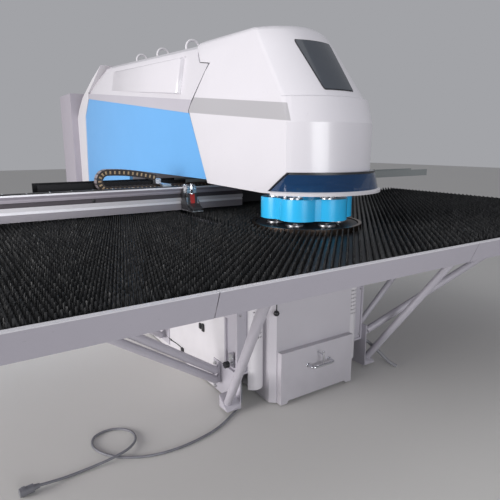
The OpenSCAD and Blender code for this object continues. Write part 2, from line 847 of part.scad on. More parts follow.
// Slope of one link of the upper run, in degrees
function link_slope(i) = 1.5 * i;
function link_start(i) = i == 0 ? [0, 0]
    : link_start(i - 1) + chain_pitch * [cos(link_slope(i - 1)), -sin(link_slope(i - 1))];
module chain_link(len) {
    translate([0, -chain_w / 2, -chain_h / 2]) difference() {
        cube([len, chain_w, chain_h]);
        translate([4, chain_wall, 6]) cube([len - 8, chain_w - 2 * chain_wall, chain_h]);
    }
}
module turn_link(start, angle) {
    low = loop_r - chain_h / 2;
    high = loop_r + chain_h / 2;
    w = chain_w / 2;
    rotate([90, 0, 0]) rotate(start) rotate_extrude(angle = angle, $fn = 96)
        polygon([[low, -w], [high, -w], [high, w], [low, w], [low, w - chain_wall], [high - 6, w - chain_wall],
                 [high - 6, chain_wall - w], [low, chain_wall - w]]);
}
module drag_chain() {
    cx = chain_left + loop_r + chain_h / 2;
    cz = chain_low_z + loop_r;
    step = 180 / turn_links;
    color([0.22, 0.17, 0.15]) {
        for (i = [0:low_links - 1])
            translate([cx + 0.3 + i * chain_pitch, chain_y, chain_low_z]) chain_link(chain_pitch - 0.3);
        for (i = [0:turn_links - 1])
            translate([cx, chain_y, cz]) turn_link(90 + i * step, step - 0.6);
        for (i = [0:top_links - 1])
            translate([cx + 0.8 + link_start(i).x, chain_y, cz + loop_r + link_start(i).y])
                rotate([0, link_slope(i), 0]) mirror([0, 0, 1]) chain_link(chain_pitch - 0.8);
    }
}
module chain_bracket() {
    x = -530;
    low = bar_z + bar_h;
    top = trough_z + chain_h + 9;
    color(bright_steel) {
        span([x - 30, bar_face + 10, low], [x + 30, bar_face + bar_t, top]);
        span([x - 30, bar_face + bar_t - over, top - 6], [x + 30, chain_y + chain_w / 2, top]);
        span([x - 29.8, chain_y - chain_w / 2 + 6, top - over], [x + 8, chain_y + chain_w / 2 - 6, top + 30]);
    }
}

// Sheet clamps on the bar

clamp_x = [-386, -1750];
jaw_low_z = brush_tip + 2;
jaw_low_t = 8;
jaw_pivot = [bar_face - 52, jaw_low_z + 62];
module clamp_body(x) {
    f = bar_face - slide_gap;
    w = clamp_w;
    color(bright_steel) translate([x, 0, 0]) {
        difference() {
            union() {
                span([-w, f - 28, jaw_low_z], [w, f, bar_z + bar_h + 14]);
                span([-w + 5, f - jaw_reach, jaw_low_z], [w - 5, f - 28, jaw_low_z + jaw_low_t]);
                for (side = [-1, 1]) mirrored(side)
                    span([w - 11, f - 75, jaw_low_z], [w - 1, f - 28, jaw_low_z + 90]);
                span([-w + 10, f - 62, jaw_low_z + 118], [w - 10, f - 28, bar_z + bar_h + 8]);
            }
            translate([-w - over, jaw_pivot.x, jaw_pivot.y])
                rotate([0, 90, 0]) cylinder(h = 2 * w + 2 * over, r = 8 + fit, $fn = 48);
        }
        span([-w + 8, f, slot_z + 1], [w - 8, bar_face + 8, slot_z + 12]);
        span([-w + 8, bar_face + 8 + slide_gap, slot_z - 7], [w - 8, bar_face + 21, slot_z + 19]);
        span([-w + 12, bar_face + 7, slot_z + 1.5], [w - 12, bar_face + 9, slot_z + 11.5]);
    }
}
module clamp_jaw(x) {
    w = clamp_w - 12;
    color([0.70, 0.12, 0.10]) translate([x, 0, 0]) {
        translate([-clamp_w + 1, jaw_pivot.x, jaw_pivot.y])
            rotate([0, 90, 0]) cylinder(h = 2 * clamp_w - 2, r = 8, $fn = 48);
        difference() {
            along_x(-w, w)
                polygon([[bar_face - jaw_reach, jaw_low_z + jaw_low_t + 6], [bar_face - 110, jaw_low_z + jaw_low_t + 6],
                         [bar_face - 40, jaw_low_z + 44], [bar_face - 40, jaw_low_z + 112],
                         [bar_face - 70, jaw_low_z + 112], [bar_face - 78, jaw_low_z + 50],
                         [bar_face - jaw_reach, jaw_low_z + jaw_low_t + 22]]);
            translate([-w - over, jaw_pivot.x, jaw_pivot.y])
                rotate([0, 90, 0]) cylinder(h = 2 * w + 2 * over, r = 7, $fn = 48);
        }
    }
}

// Turrets, tools and ram

lobe_turn = 6;
hub_r = 105;
bearing_h = 15;
hub_top = arm_under - bearing_h - slide_gap;
tip_z = turret_z + 1;
module upper_turret() {
    color(blue_paint) difference() {
        union() {
            translate([0, 0, turret_z]) linear_extrude(turret_h) union() {
                circle(r = turret_core_r, $fn = 128);
                for (i = [0:stations - 1])
                    translate(polar(turret_r - lobe_r, station_angle(i) + lobe_turn)) circle(r = lobe_r, $fn = 64);
            }
            translate([0, 0, turret_top]) cylinder(h = hub_top - turret_top, r = hub_r, $fn = 96);
        }
        for (i = [0:stations - 1])
            translate(concat(polar(station_r, station_angle(i)), turret_z - over))
                cylinder(h = turret_h + 2 * over, r = punch_r + 2 * fit, $fn = 64);
    }
}
punch_top = turret_top + 4;
// Holder with its tip. A holder that waits has an open head, deep enough for the lowered ram.
module punch(i, head_depth) {
    translate(concat(polar(station_r, station_angle(i)), 0)) {
        difference() {
            translate([0, 0, turret_z + 10]) cylinder(h = punch_top - turret_z - 10, r = punch_r, $fn = 64);
            translate([0, 0, punch_top - head_depth]) cylinder(h = head_depth + over, r = ram_r + 1.5, $fn = 64);
        }
        translate([0, 0, tip_z]) cylinder(h = 12, r = punch_tip_r, $fn = 48);
    }
}
module punches() {
    color(bright_steel) for (i = [1:stations - 1]) punch(i, ram_stroke + slide_gap);
}
module active_punch() {
    color(bright_steel) punch(0, 0);
}

die_z = base_top + 21;
die_turret_top = table_h + 6;
die_top = brush_tip;
die_r = 50;
die_deep = 22;
module die_turret() {
    color(dark_steel) difference() {
        union() {
            translate([0, 0, die_z]) cylinder(h = die_turret_top - die_z, r = die_turret_r, $fn = 160);
        }
        for (i = [0:stations - 1]) translate(concat(polar(station_r, station_angle(i)), 0)) {
            translate([0, 0, die_turret_top - die_deep]) cylinder(h = die_deep + over, r = die_r + fit, $fn = 64);
            translate([0, 0, die_z - over]) cylinder(h = 80, r = 30, $fn = 48);
        }
    }
}
module dies() {
    color(bright_steel) for (i = [0:stations - 1]) translate(concat(polar(station_r, station_angle(i)), 0))
        difference() {
            translate([0, 0, die_turret_top - die_deep]) cylinder(h = die_top - die_turret_top + die_deep, r = die_r, $fn = 64);
            translate([0, 0, die_turret_top - die_deep - over])
                cylinder(h = die_top, r = punch_tip_r + 1, $fn = 48);
        }
}
ring_in_r = die_turret_r + 2;
ring_out_r = die_turret_r + 24;
module die_ring() {
    color([0.30, 0.22, 0.19]) difference() {
        translate([0, 0, tray_top]) cylinder(h = 32, r = ring_out_r, $fn = 160);
        translate([0, 0, tray_top - over]) cylinder(h = 40, r = ring_in_r + 3, $fn = 160);
    }
}
module ram() {
    color(bright_steel) translate([0, station_r, punch_top + slide_gap])
        cylinder(h = ram_hole_top - 36 - punch_top, r = ram_r, $fn = 96);
}
guide_r = 64;
module ram_guide() {
    color(dark_steel) {
        difference() {
            translate([0, station_r, arm_under - 22]) cylinder(h = 22, r = guide_r, $fn = 96);
            translate([0, station_r, arm_under - 23]) cylinder(h = 24, r = ram_r + fit, $fn = 96);
        }
        translate([0, 0, arm_under - bearing_h]) cylinder(h = bearing_h, r = hub_r + 5, $fn = 96);
        translate([0, 0, base_top]) cylinder(h = die_z - base_top - slide_gap, r = hub_r + 5, $fn = 96);
        translate([0, station_r, nose_high_top]) cylinder(h = 130, r = 90, $fn = 96);
    }
}

// Electrical cabinet behind the frame

ecab_y = 3580;
plinth = 100;
module electrical_cabinet() {
    t = 12;
    color([0.66, 0.62, 0.68]) {
        difference() {
            span([-ecab_w, ecab_y, plinth], [ecab_w, ecab_y + ecab_d, ecab_h]);
            span([-ecab_w + t, ecab_y + t, plinth + t], [ecab_w - t, ecab_y + ecab_d + over, ecab_h - t]);
        }
        span([-ecab_w + 30, ecab_y + 30, 0], [ecab_w - 30, ecab_y + ecab_d - 30, plinth]);
        span([-ecab_w + 60, ecab_y + t, plinth + 80], [ecab_w - 60, ecab_y + t + 6, ecab_h - 80]);
    }
}
door_t = 22;
hinge_r = 7;
module cabinet_doors() {
    y = ecab_y + ecab_d + slide_gap;
    color([0.66, 0.62, 0.68]) {
        span([-ecab_w + hinge_r * 2 + 2, y, plinth + 4], [ecab_w - 4, y + door_t, ecab_h - 4]);
        translate([ecab_w - 70, y + door_t, 1150]) rotate([-90, 0, 0]) cylinder(h = 14, r = 18, $fn = 40);
        span([ecab_w - 82, y + door_t + 14, 1070], [ecab_w - 58, y + door_t + 26, 1170]);
        for (z = [plinth + 200, ecab_h - 300])
            translate([-ecab_w + hinge_r, y + hinge_r, z]) cylinder(h = 90, r = hinge_r, $fn = 32);
        for (z = [plinth + 200, ecab_h - 300])
            span([-ecab_w + hinge_r, y + 1, z], [-ecab_w + hinge_r * 2 + 3, y + 7, z + 90]);
    }
}

// Floor cable, swept along points that were chosen by hand
cable_z = cable_d / 2;
cable_points = [
    [-440, 40, 180], [-440, 40, 172], [-440, 40, 164], [-441, 38, 140], [-446, 24, 80], [-462, 0, 34], [-498, -26, 10], [-560, -66, 6.6],
    [-683, -135, 6.6], [-800, -170, 6.6], [-921, -186, 6.6], [-1020, -182, 6.6], [-1103, -163, 6.6],
    [-1180, -126, 6.6], [-1240, -80, 6.6], [-1290, -10, 6.6], [-1310, 70, 6.6], [-1280, 140, 6.6],
    [-1210, 162, 6.6], [-1140, 135, 6.6], [-1100, 70, 6.6], [-1112, -5, 9], [-1160, -60, 15],
    [-1222, -92, 20.6], [-1290, -100, 15], [-1387, -100, 8], [-1480, -104, 8], [-1545, -110, 16], [-1590, -114, 22.5]
];
cable_sides = 10;
function lerp3(a, b, t) = a + (b - a) * t;
function spline_point(p, i, t) =
    let (a = p[max(i - 1, 0)], b = p[i], c = p[i + 1], d = p[min(i + 2, len(p) - 1)])
    0.5 * ((2 * b) + (c - a) * t + (2 * a - 5 * b + 4 * c - d) * t * t + (3 * b - a - 3 * c + d) * t * t * t);
function ring_at(p, dir, r) =
    let (side = cross(dir, [0, 0, 1]), s = side / max(norm(side), 0.001), u = cross(s, dir))
    [for (k = [0:cable_sides - 1]) p + r * (cos(k * 360 / cable_sides) * s + sin(k * 360 / cable_sides) * u)];
module swept_cable(points, rings_per_span, d) {
    n = len(points) - 1;
    path = concat([for (i = [0:n - 1], k = [0:rings_per_span - 1]) spline_point(points, i, k / rings_per_span)], [points[n]]);
    m = len(path);
    rings = [for (i = [0:m - 1])
        let (v = path[min(i + 1, m - 1)] - path[max(i - 1, 0)]) ring_at(path[i], v / norm(v), d / 2)];
    s = cable_sides;
    faces = concat(
        [[for (k = [s - 1:-1:0]) k]],
        [for (i = [0:m - 2], k = [0:s - 1]) [i * s + k, i * s + (k + 1) % s, (i + 1) * s + (k + 1) % s, (i + 1) * s + k]],
        [[for (k = [0:s - 1]) (m - 1) * s + k]]);
    polyhedron(points = [for (r = rings) each r], faces = faces);
}
module floor_cable() {
    color([0.55, 0.55, 0.58]) swept_cable(cable_points, 3, cable_d);
}

// Plug on the cable's far end, lying on the floor
plug_r = 22;
plug_gap = 0.9;
module cable_plug() {
    tip = cable_points[len(cable_points) - 1];
    run = tip - cable_points[len(cable_points) - 2];
    color([0.35, 0.38, 0.36]) translate([tip.x, tip.y, plug_r + 0.5])
        rotate([0, -90, atan2(run.y, run.x) - 180]) translate([0, 0, plug_gap]) {
        cylinder(h = 26, r1 = 10, r2 = 14, $fn = 48);
        translate([0, 0, 26]) cylinder(h = 58, r = plug_r - 3, $fn = 64);
        translate([0, 0, 60]) cylinder(h = 14, r = plug_r, $fn = 64);
    }
}

// Ribbed hose that hangs from the right side of the base to the floor
hose_d = 22;
hose_points = [
    [base_w + pad_t + 0.4, 57, 195], [517, 57, 195], [528, 57, 195], [556, 40, 182], [590, 4, 152], [622, -46, 108], [648, -98, 62],
    [668, -140, 30], [690, -180, 11.2]
];
module drain_hose() {
    color([0.60, 0.60, 0.63]) swept_cable(hose_points, 3, hose_d);
}

module base_cover_left() {
    mirrored(-1) base_cover();
}
module base_cover_right() {
    base_cover();
}
module grille_cover_left() {
    mirrored(-1) grille_cover();
}
module grille_cover_right() {
    grille_cover();
}
module side_panel_left() {
    mirrored(-1) side_panel();
}
module side_panel_right() {
    side_panel();
}
module clamp_body_1() {
    clamp_body(clamp_x[0]);
}
module clamp_jaw_1() {
    clamp_jaw(clamp_x[0]);
}
module clamp_body_2() {
    clamp_body(clamp_x[1]);
}
module clamp_jaw_2() {
    clamp_jaw(clamp_x[1]);
}

base_frame();
scrap_cabinet();
base_cover_left();
base_cover_right();
service_housing_left();
service_housing_right();
grille_cover_left();
grille_cover_right();
air_regulator();
regulator_knob();
scrap_drawer();
drawer_handle();
release_lever();
table_struts();
c_column();
c_arm();
front_shell();
rear_shell();
side_bands();
side_panel_left();
side_panel_right();
rear_frame();
windshield();
visor();
visor_rim();
lifting_rings();
table_left_frame();
table_mid_frame();
table_right_frame();
brush_left();
brush_mid();
brush_right();
fascia_outer_left();
fascia_inner_left();
fascia_inner_right();
fascia_outer_right();
y_rails();
y_saddles();
cross_beam();
cable_trough();
clamp_bar();
drag_chain();
chain_bracket();
clamp_body_1();
clamp_jaw_1();
clamp_body_2();
clamp_jaw_2();
upper_turret();
punches();
active_punch();
die_turret();
dies();
die_ring();
ram();
ram_guide();
electrical_cabinet();
cabinet_doors();
floor_cable();
cable_plug();
drain_hose();
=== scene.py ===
# %% [markdown]
# # A turret punch press, dressed for a picture
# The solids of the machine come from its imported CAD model. This script gives each
# solid its finish, replaces the plain stand-ins, such as the brushes and the cable,
# by pieces with real detail, and puts light, a floor and a camera round them.
# Everything is in metres: +X runs along the table's front edge, +Y to the rear.

# %% Load the machine
import json
import math
import random
import bmesh
import bpy
from mathutils import Matrix, Vector


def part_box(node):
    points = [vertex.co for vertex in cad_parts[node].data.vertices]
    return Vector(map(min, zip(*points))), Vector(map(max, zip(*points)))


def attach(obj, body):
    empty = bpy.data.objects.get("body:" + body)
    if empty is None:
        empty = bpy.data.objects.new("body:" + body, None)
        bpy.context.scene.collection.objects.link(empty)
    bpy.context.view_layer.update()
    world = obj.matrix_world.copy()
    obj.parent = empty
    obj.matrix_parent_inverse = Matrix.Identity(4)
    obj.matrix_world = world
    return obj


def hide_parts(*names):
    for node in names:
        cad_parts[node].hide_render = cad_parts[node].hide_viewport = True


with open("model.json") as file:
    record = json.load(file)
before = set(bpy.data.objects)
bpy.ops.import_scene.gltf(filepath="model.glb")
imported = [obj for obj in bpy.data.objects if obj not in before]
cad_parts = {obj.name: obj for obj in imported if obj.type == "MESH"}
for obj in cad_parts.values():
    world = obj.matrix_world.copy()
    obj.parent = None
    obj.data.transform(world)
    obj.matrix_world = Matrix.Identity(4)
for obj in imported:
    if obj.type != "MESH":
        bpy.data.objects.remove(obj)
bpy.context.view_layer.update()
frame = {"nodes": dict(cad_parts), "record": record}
random.seed(7)

# %% [markdown]
# ## Camera
# A phone held at chest height took the picture, a little to the left of the machine
# and tilted down. The vanishing points of the table's edges give the heading and the
# tilt, and the height of the table gives the distance.

# %% Camera
camera_data = bpy.data.cameras.new("camera")
camera = bpy.data.objects.new("camera", camera_data)
bpy.context.scene.collection.objects.link(camera)
sensor_width, focal_pixels, picture_pixels = 36, 478, 500
camera_data.sensor_width = sensor_width
camera_data.lens = sensor_width * focal_pixels / picture_pixels
camera.location = (-1.8225, -2.175, 1.5)
camera_heading, camera_tilt = math.radians(33.2), math.radians(12.4)
aim = Vector((math.sin(camera_heading) * math.cos(camera_tilt),
              math.cos(camera_heading) * math.cos(camera_tilt), -math.sin(camera_tilt)))
camera.rotation_euler = aim.to_track_quat("-Z", "Y").to_euler()
bpy.context.scene.camera = camera
print("camera at", tuple(round(v, 3) for v in camera.location))

# %% [markdown]
# ## Cords
# A grey rubber cable leaves the left housing, drops to the floor and lies there in a
# loose loop. The curve goes through the same points as the solid. Its bevel is 1 m deep
# and each point's radius is the cord's own, so that the curve's box fits the cord too.
# The short hose at the right is made the same way.

# %% Cords
def curve_through(points, steps):
    """Points on a smooth line through the given ones."""
    line = []
    for i in range(len(points) - 1):
        a, b = Vector(points[max(i - 1, 0)]), Vector(points[i])
        c, d = Vector(points[i + 1]), Vector(points[min(i + 2, len(points) - 1)])
        for k in range(steps):
            t = k / steps
            line.append(0.5 * (2 * b + (c - a) * t + (2 * a - 5 * b + 4 * c - d) * t * t
                               + (3 * b - a - 3 * c + d) * t ** 3))
    return line + [Vector(points[-1])]


def line_length(line):
    return sum((q - p).length for p, q in zip(line, line[1:]))


def tube_along(name, line, radius):
    curve = bpy.data.curves.new(name, "CURVE")
    curve.dimensions = "3D"
    curve.bevel_depth = 1
    curve.bevel_resolution = 4
    curve.use_fill_caps = True
    spline = curve.splines.new("POLY")
    spline.points.add(len(line) - 1)
    for point, place in zip(spline.points, line):
        point.co = (*place, 1)
        point.radius = radius
    piece = bpy.data.objects.new(name, curve)
    bpy.context.scene.collection.objects.link(piece)
    return piece


cable_route = [
    (-0.440, 0.040, 0.180), (-0.440, 0.040, 0.172), (-0.440, 0.040, 0.164), (-0.441, 0.038, 0.140),
    (-0.446, 0.024, 0.080), (-0.462, 0.000, 0.034),
    (-0.498, -0.026, 0.010), (-0.560, -0.066, 0.0066), (-0.683, -0.135, 0.0066), (-0.800, -0.170, 0.0066),
    (-0.921, -0.186, 0.0066), (-1.020, -0.182, 0.0066), (-1.103, -0.163, 0.0066), (-1.180, -0.126, 0.0066),
    (-1.240, -0.080, 0.0066), (-1.290, -0.010, 0.0066), (-1.310, 0.070, 0.0066), (-1.280, 0.140, 0.0066),
    (-1.210, 0.162, 0.0066), (-1.140, 0.135, 0.0066), (-1.100, 0.070, 0.0066), (-1.112, -0.005, 0.009),
    (-1.160, -0.060, 0.015), (-1.222, -0.092, 0.0206), (-1.290, -0.100, 0.015), (-1.387, -0.100, 0.008),
    (-1.480, -0.104, 0.008), (-1.545, -0.110, 0.016), (-1.590, -0.114, 0.0225)]
cable_line = curve_through(cable_route, 4)
cable = tube_along("floor_cable_sheath", cable_line, 0.0065)
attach(cable, "machine")
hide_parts("floor_cable")
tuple(cable_route[0])
round(line_length(cable_line), 3)

hose_route = [
    (0.5064, 0.057, 0.195), (0.517, 0.057, 0.195), (0.528, 0.057, 0.195),
    (0.556, 0.040, 0.182), (0.590, 0.004, 0.152), (0.622, -0.046, 0.108),
    (0.648, -0.098, 0.062), (0.668, -0.140, 0.030), (0.690, -0.180, 0.0112)]
hose_line = curve_through(hose_route, 4)
hose = tube_along("drain_hose_sheath", hose_line, 0.011)
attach(hose, "machine")
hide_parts("drain_hose")
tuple(hose_route[0])
round(line_length(hose_line), 3)
print("cable", round(line_length(cable_line), 3), "m, hose", round(line_length(hose_line), 3), "m")

# %% [markdown]
# ## Shader sums
# A finish is worked out as a sum: noise times a colour here, an edge there. The small
# class below lets Python's own operators add the Math nodes, so that a finish reads
# like a formula. Colours and vectors go through Mix and Vector Math nodes.

# %% A small class for shader sums
class Sum:
    """One socket in a material's node tree, with operators that add Math nodes."""

    def __init__(self, paint, socket):
        self.paint, self.socket = paint, socket

    def _math(self, operation, other, swap=False):
        values = [other, self] if swap else [self, other]
        return self.paint.node("ShaderNodeMath", {"operation": operation}, {0: values[0], 1: values[1]})

    def __add__(self, other): return self._math("ADD", other)
    def __sub__(self, other): return self._math("SUBTRACT", other)
    def __rsub__(self, other): return self._math("SUBTRACT", other, True)
    def __mul__(self, other): return self._math("MULTIPLY", other)
    def __gt__(self, other): return self._math("GREATER_THAN", other)
    def __lt__(self, other): return self._math("LESS_THAN", other)

    def between(self, low, high):
        """0 at low and below, 1 at high and above."""
        return self.paint.node("ShaderNodeMapRange", {"clamp": True},
                               {"Value": self, "From Min": low, "From Max": high})


class Paint:
    """A material, and the one method that adds its nodes."""

    def __init__(self, name):
        self.material = bpy.data.materials.new(name)
        self.material.use_nodes = True
        self.tree = self.material.node_tree
        self.shader = self.tree.nodes["Principled BSDF"]

    def link(self, value, socket):
        if isinstance(value, Sum):
            self.tree.links.new(value.socket, socket)
        elif socket.type == "RGBA" and len(value) == 3:
            socket.default_value = (*value, 1)
        else:
            socket.default_value = value

    def node(self, kind, settings=(), inputs=(), out=0):
        made = self.tree.nodes.new(kind)
        for key, value in dict(settings).items():
            setattr(made, key, value)
        for key, value in dict(inputs).items():
            self.link(value, made.inputs[key])
        return Sum(self, made.outputs[out])

    def place(self):
        return self.node("ShaderNodeTexCoord", out="Object")

    def axis(self, letter):
        return self.node("ShaderNodeSeparateXYZ", inputs={0: self.place()}, out=letter)

    def stretched(self, scale):
        return self.node("ShaderNodeMapping", inputs={"Vector": self.place(), "Scale": scale})

    def noise(self, scale, detail=3, rough=0.5, where=None):
        return self.node("ShaderNodeTexNoise", out="Fac", inputs={
            "Vector": where or self.place(), "Scale": scale, "Detail": detail, "Roughness": rough})

    def mix(self, share, first, second):
        made = self.tree.nodes.new("ShaderNodeMix")
        made.data_type = "RGBA"
        self.link(share, made.inputs[0])
        self.link(first, made.inputs[6])
        self.link(second, made.inputs[7])
        return Sum(self, made.outputs[2])

    def set(self, **values):
        names = {"color": "Base Color", "rough": "Roughness", "metal": "Metallic", "alpha": "Alpha",
                 "coat": "Coat Weight", "coat_rough": "Coat Roughness", "ior": "IOR"}
        for key, value in values.items():
            self.link(value, self.shader.inputs[names[key]])

    def bump(self, height, distance):
        normal = self.node("ShaderNodeBump", inputs={"Height": height, "Distance": distance})
        self.link(normal, self.shader.inputs["Normal"])


print("shader sums are ready")


# %% [markdown]
# ## Painted sheet
# Powder coat has a fine orange peel and faint clouds of dust, and it is darker in
# patches towards the floor. One helper makes every paint of the machine from its own colour.

# %% Painted sheet
def scaled(color, factor):
    return tuple(min(1, c * factor) for c in color)


def painted(name, color, rough=0.42, peel=0.00012, dust=0.10, coat=0.0):
    p = Paint(name)
    cloud = p.noise(1.7, 4, 0.6)
    speck = p.noise(60, 2, 0.6)
    # Darker in patches towards the floor.
    near_floor = 1 - p.axis("Z").between(0.02, 0.55)
    tone = p.mix(cloud.between(0.35, 0.75) * dust * 3, color, scaled(color, 0.86))
    tone = p.mix(near_floor * cloud.between(0.30, 0.60) * 0.45, tone, scaled(color, 0.55))
    tone = p.mix((speck > 0.72) * 0.25, tone, scaled(color, 0.70))
    p.set(color=tone, rough=cloud * 0.12 + (rough - 0.06), coat=coat, coat_rough=0.12)
    p.bump(p.noise(420, 2, 0.5), peel)
    return p.material


white_paint = painted("white_paint", (0.66, 0.64, 0.67))
grey_paint = painted("grey_paint", (0.46, 0.44, 0.49))
blue_paint = painted("blue_paint", (0.13, 0.39, 0.76), rough=0.34, coat=0.3)
shell_white = painted("shell_white", (0.63, 0.61, 0.65), rough=0.32, peel=0.00005, coat=0.3)
# The drawer and its cabinet are painted darker than the white paint, as painted shade under the table.
shaded_drawer_white = painted("shaded_drawer_white", (0.52, 0.50, 0.54))
cabinet_grey = painted("cabinet_grey", (0.42, 0.39, 0.44), rough=0.5, peel=0.0003)
clamp_red = painted("clamp_red", (0.42, 0.03, 0.02), rough=0.4)
print(len(bpy.data.materials), "painted sheets")

# %% [markdown]
# The moulded head carries a grey band on each side, which goes on from the band of the
# arm and ends at the front corner. The table's sections are painted dark inside their
# trays, as painted shade between the brush tufts, and their fascia has a painted
# highlight along its top edge. What is the same on both sides compares the square of a
# distance, so one test serves both.

# %% Paints with a pattern
def masked(paint, share, color):
    """Lay a second colour over a finished paint where share is 1."""
    base = paint.shader.inputs["Base Color"]
    below = Sum(paint, base.links[0].from_socket)
    paint.set(color=paint.mix(share, below, color))
    return paint.material


class Coat(Paint):
    """A painted sheet that is still open for a second colour."""

    def __init__(self, name, color, **settings):
        self.material = painted(name, color, **settings)
        self.tree = self.material.node_tree
        self.shader = self.tree.nodes["Principled BSDF"]


head = Coat("head_white", (0.66, 0.64, 0.68), rough=0.32, peel=0.00005, coat=0.3)
x, y, z = (head.axis(letter) for letter in "XYZ")
band_top, band_top_slope, band_foot, band_foot_slope = 1.7275, 0.1013, 1.637, 0.0905
band_blur, band_front, band_inside = 0.002, -0.272, 0.084
band = ((y * band_top_slope + band_top - z).between(0, band_blur)
        * (z - (y * band_foot_slope + band_foot)).between(0, band_blur))
head_white = masked(head, band * (x * x > band_inside) * (y > band_front), (0.40, 0.39, 0.41))

# The floor of each tray is painted near black, as painted shade between the brush tufts.
tray = Coat("tray_shade_paint", (0.46, 0.44, 0.49))
tray_shade_paint = masked(tray, tray.axis("Z").between(1.026, 1.0278), (0.010, 0.011, 0.013))
# The fascia's top edge is painted lighter, as a painted highlight.
fascia = Coat("fascia_highlit_paint", (0.40, 0.38, 0.43))
fascia_highlit_paint = masked(fascia, fascia.axis("Z").between(1.0465, 1.048) * 0.7, (0.80, 0.79, 0.82))
print(len(bpy.data.materials), "paints")

# %% [markdown]
# ## Bare metal
# Ground steel shows fine scratches along the grinding direction and faint stains.
# Long noise, stretched along one axis, gives the scratches both in the sheen and in
# the surface.

# %% Bare metal
def metal(name, color, rough, grain=(4, 4, 4), stain=0.25, metallic=1.0):
    p = Paint(name)
    scratch = p.noise(90, 3, 0.6, p.stretched(grain))
    cloud = p.noise(7, 4, 0.6)
    tone = p.mix(cloud.between(0.40, 0.80) * stain, color, scaled(color, 0.55))
    p.set(color=tone, metal=metallic, rough=scratch * 0.22 + (rough - 0.08))
    p.bump(scratch, 0.00015)
    return p.material


bright_steel = metal("bright_steel", (0.62, 0.62, 0.64), 0.30, (1, 6, 1))
zinc_sheet = metal("zinc_sheet", (0.60, 0.63, 0.64), 0.38, (1, 5, 5))
anodised = metal("anodised_profile", (0.72, 0.73, 0.75), 0.34, (0.3, 8, 8), stain=0.1)
ring_steel = metal("ring_steel", (0.16, 0.12, 0.10), 0.32, (2, 2, 2), stain=0.6)
dark_steel = metal("dark_steel", (0.03, 0.03, 0.035), 0.45, (3, 3, 3), metallic=0.4)
chrome = metal("chrome", (0.66, 0.67, 0.70), 0.10, (2, 2, 2), stain=0.05)


def striped_metal(name, axis, stripes, base, rough, grain):
    """Bare metal whose tone changes along an axis: (start, end, colour) for each stripe."""
    p = Paint(name)
    place = p.axis(axis)
    scratch = p.noise(90, 3, 0.6, p.stretched(grain))
    tone = p.mix(scratch.between(0.45, 0.75) * 0.3, base, scaled(base, 0.6))
    blur = 0.0004
    for start, end, color in stripes:
        share = place.between(start - blur, start + blur) * (1 - place.between(end - blur, end + blur))
        tone = p.mix(share, tone, p.mix(scratch.between(0.45, 0.75) * 0.3, color, scaled(color, 0.6)))
    p.set(color=tone, metal=0.85, rough=scratch * 0.22 + rough)
    p.bump(scratch, 0.00015)
    return p.material


# The clamp bar's bands are painted light and shade on one anodised profile: its top and a ridge are bright
# as painted highlights, and its grooves are dark as painted shade.
bar_lit_and_shaded = striped_metal("bar_profile", "Z", [
    (1.060, 1.110, (0.34, 0.32, 0.35)), (1.110, 1.127, (0.85, 0.84, 0.88)),
    (1.127, 1.150, (0.62, 0.60, 0.63)), (1.150, 1.176, (0.09, 0.08, 0.09)),
    (1.176, 1.196, (0.36, 0.33, 0.37)), (1.196, 1.212, (0.24, 0.22, 0.25)),
    (1.212, 1.230, (0.85, 0.84, 0.88))], (0.40, 0.38, 0.41), 0.34, (0.3, 8, 8))
trough_metal = striped_metal("trough_sheet", "X", [(-2.0, -0.30, (0.02, 0.02, 0.022))],
                             (0.42, 0.45, 0.45), 0.34, (1, 5, 5))
print("bare metals up to", trough_metal.name)

# %% [markdown]
# ## Enamel on the turret
# The turret is a casting with a thick glossy enamel over machined lobes.

# %% Turret enamel
turret_blue = painted("turret_enamel", (0.035, 0.55, 1.00), rough=0.24, peel=0.00008, coat=0.6)
print(turret_blue.name, "with", len(turret_blue.node_tree.nodes), "nodes")

# %% [markdown]
# ## Plastics, rubber and glass
# Black plastic is matt with a fine grain. The visor is a thin tinted sheet, and the
# panel in the head is smoked and lies in front of a dark space.

# %% Plastics, rubber and glass
def plastic(name, color, rough, grain=500, height=0.00015):
    p = Paint(name)
    cloud = p.noise(9, 3, 0.6)
    tone = p.mix(cloud.between(0.45, 0.75) * 0.5, color, scaled(color, 1.8))
    p.set(color=tone, rough=cloud * 0.15 + rough)
    p.bump(p.noise(grain, 2, 0.5), height)
    return p.material


black_plastic = plastic("black_plastic", (0.012, 0.012, 0.014), 0.35)
bristle_black = plastic("bristle_black", (0.0030, 0.0034, 0.0044), 0.50)
chain_plastic = plastic("chain_plastic", (0.030, 0.022, 0.020), 0.50)
cable_rubber = plastic("cable_rubber", (0.16, 0.16, 0.18), 0.45)
hose_grey = plastic("hose_grey", (0.25, 0.25, 0.27), 0.40)


def sheet_glass(name, tint, alpha, rough):
    p = Paint(name)
    haze = p.noise(5, 4, 0.6)
    p.set(color=tint, rough=haze * 0.10 + rough, alpha=haze * 0.12 + (alpha - 0.06), ior=1.49)
    return p.material


visor_clear = sheet_glass("visor_clear", (0.003, 0.034, 0.105), 0.74, 0.02)
smoked_glass = sheet_glass("smoked_glass", (0.058, 0.066, 0.080), 0.98, 0.05)
print(len(bpy.data.materials), "materials so far")
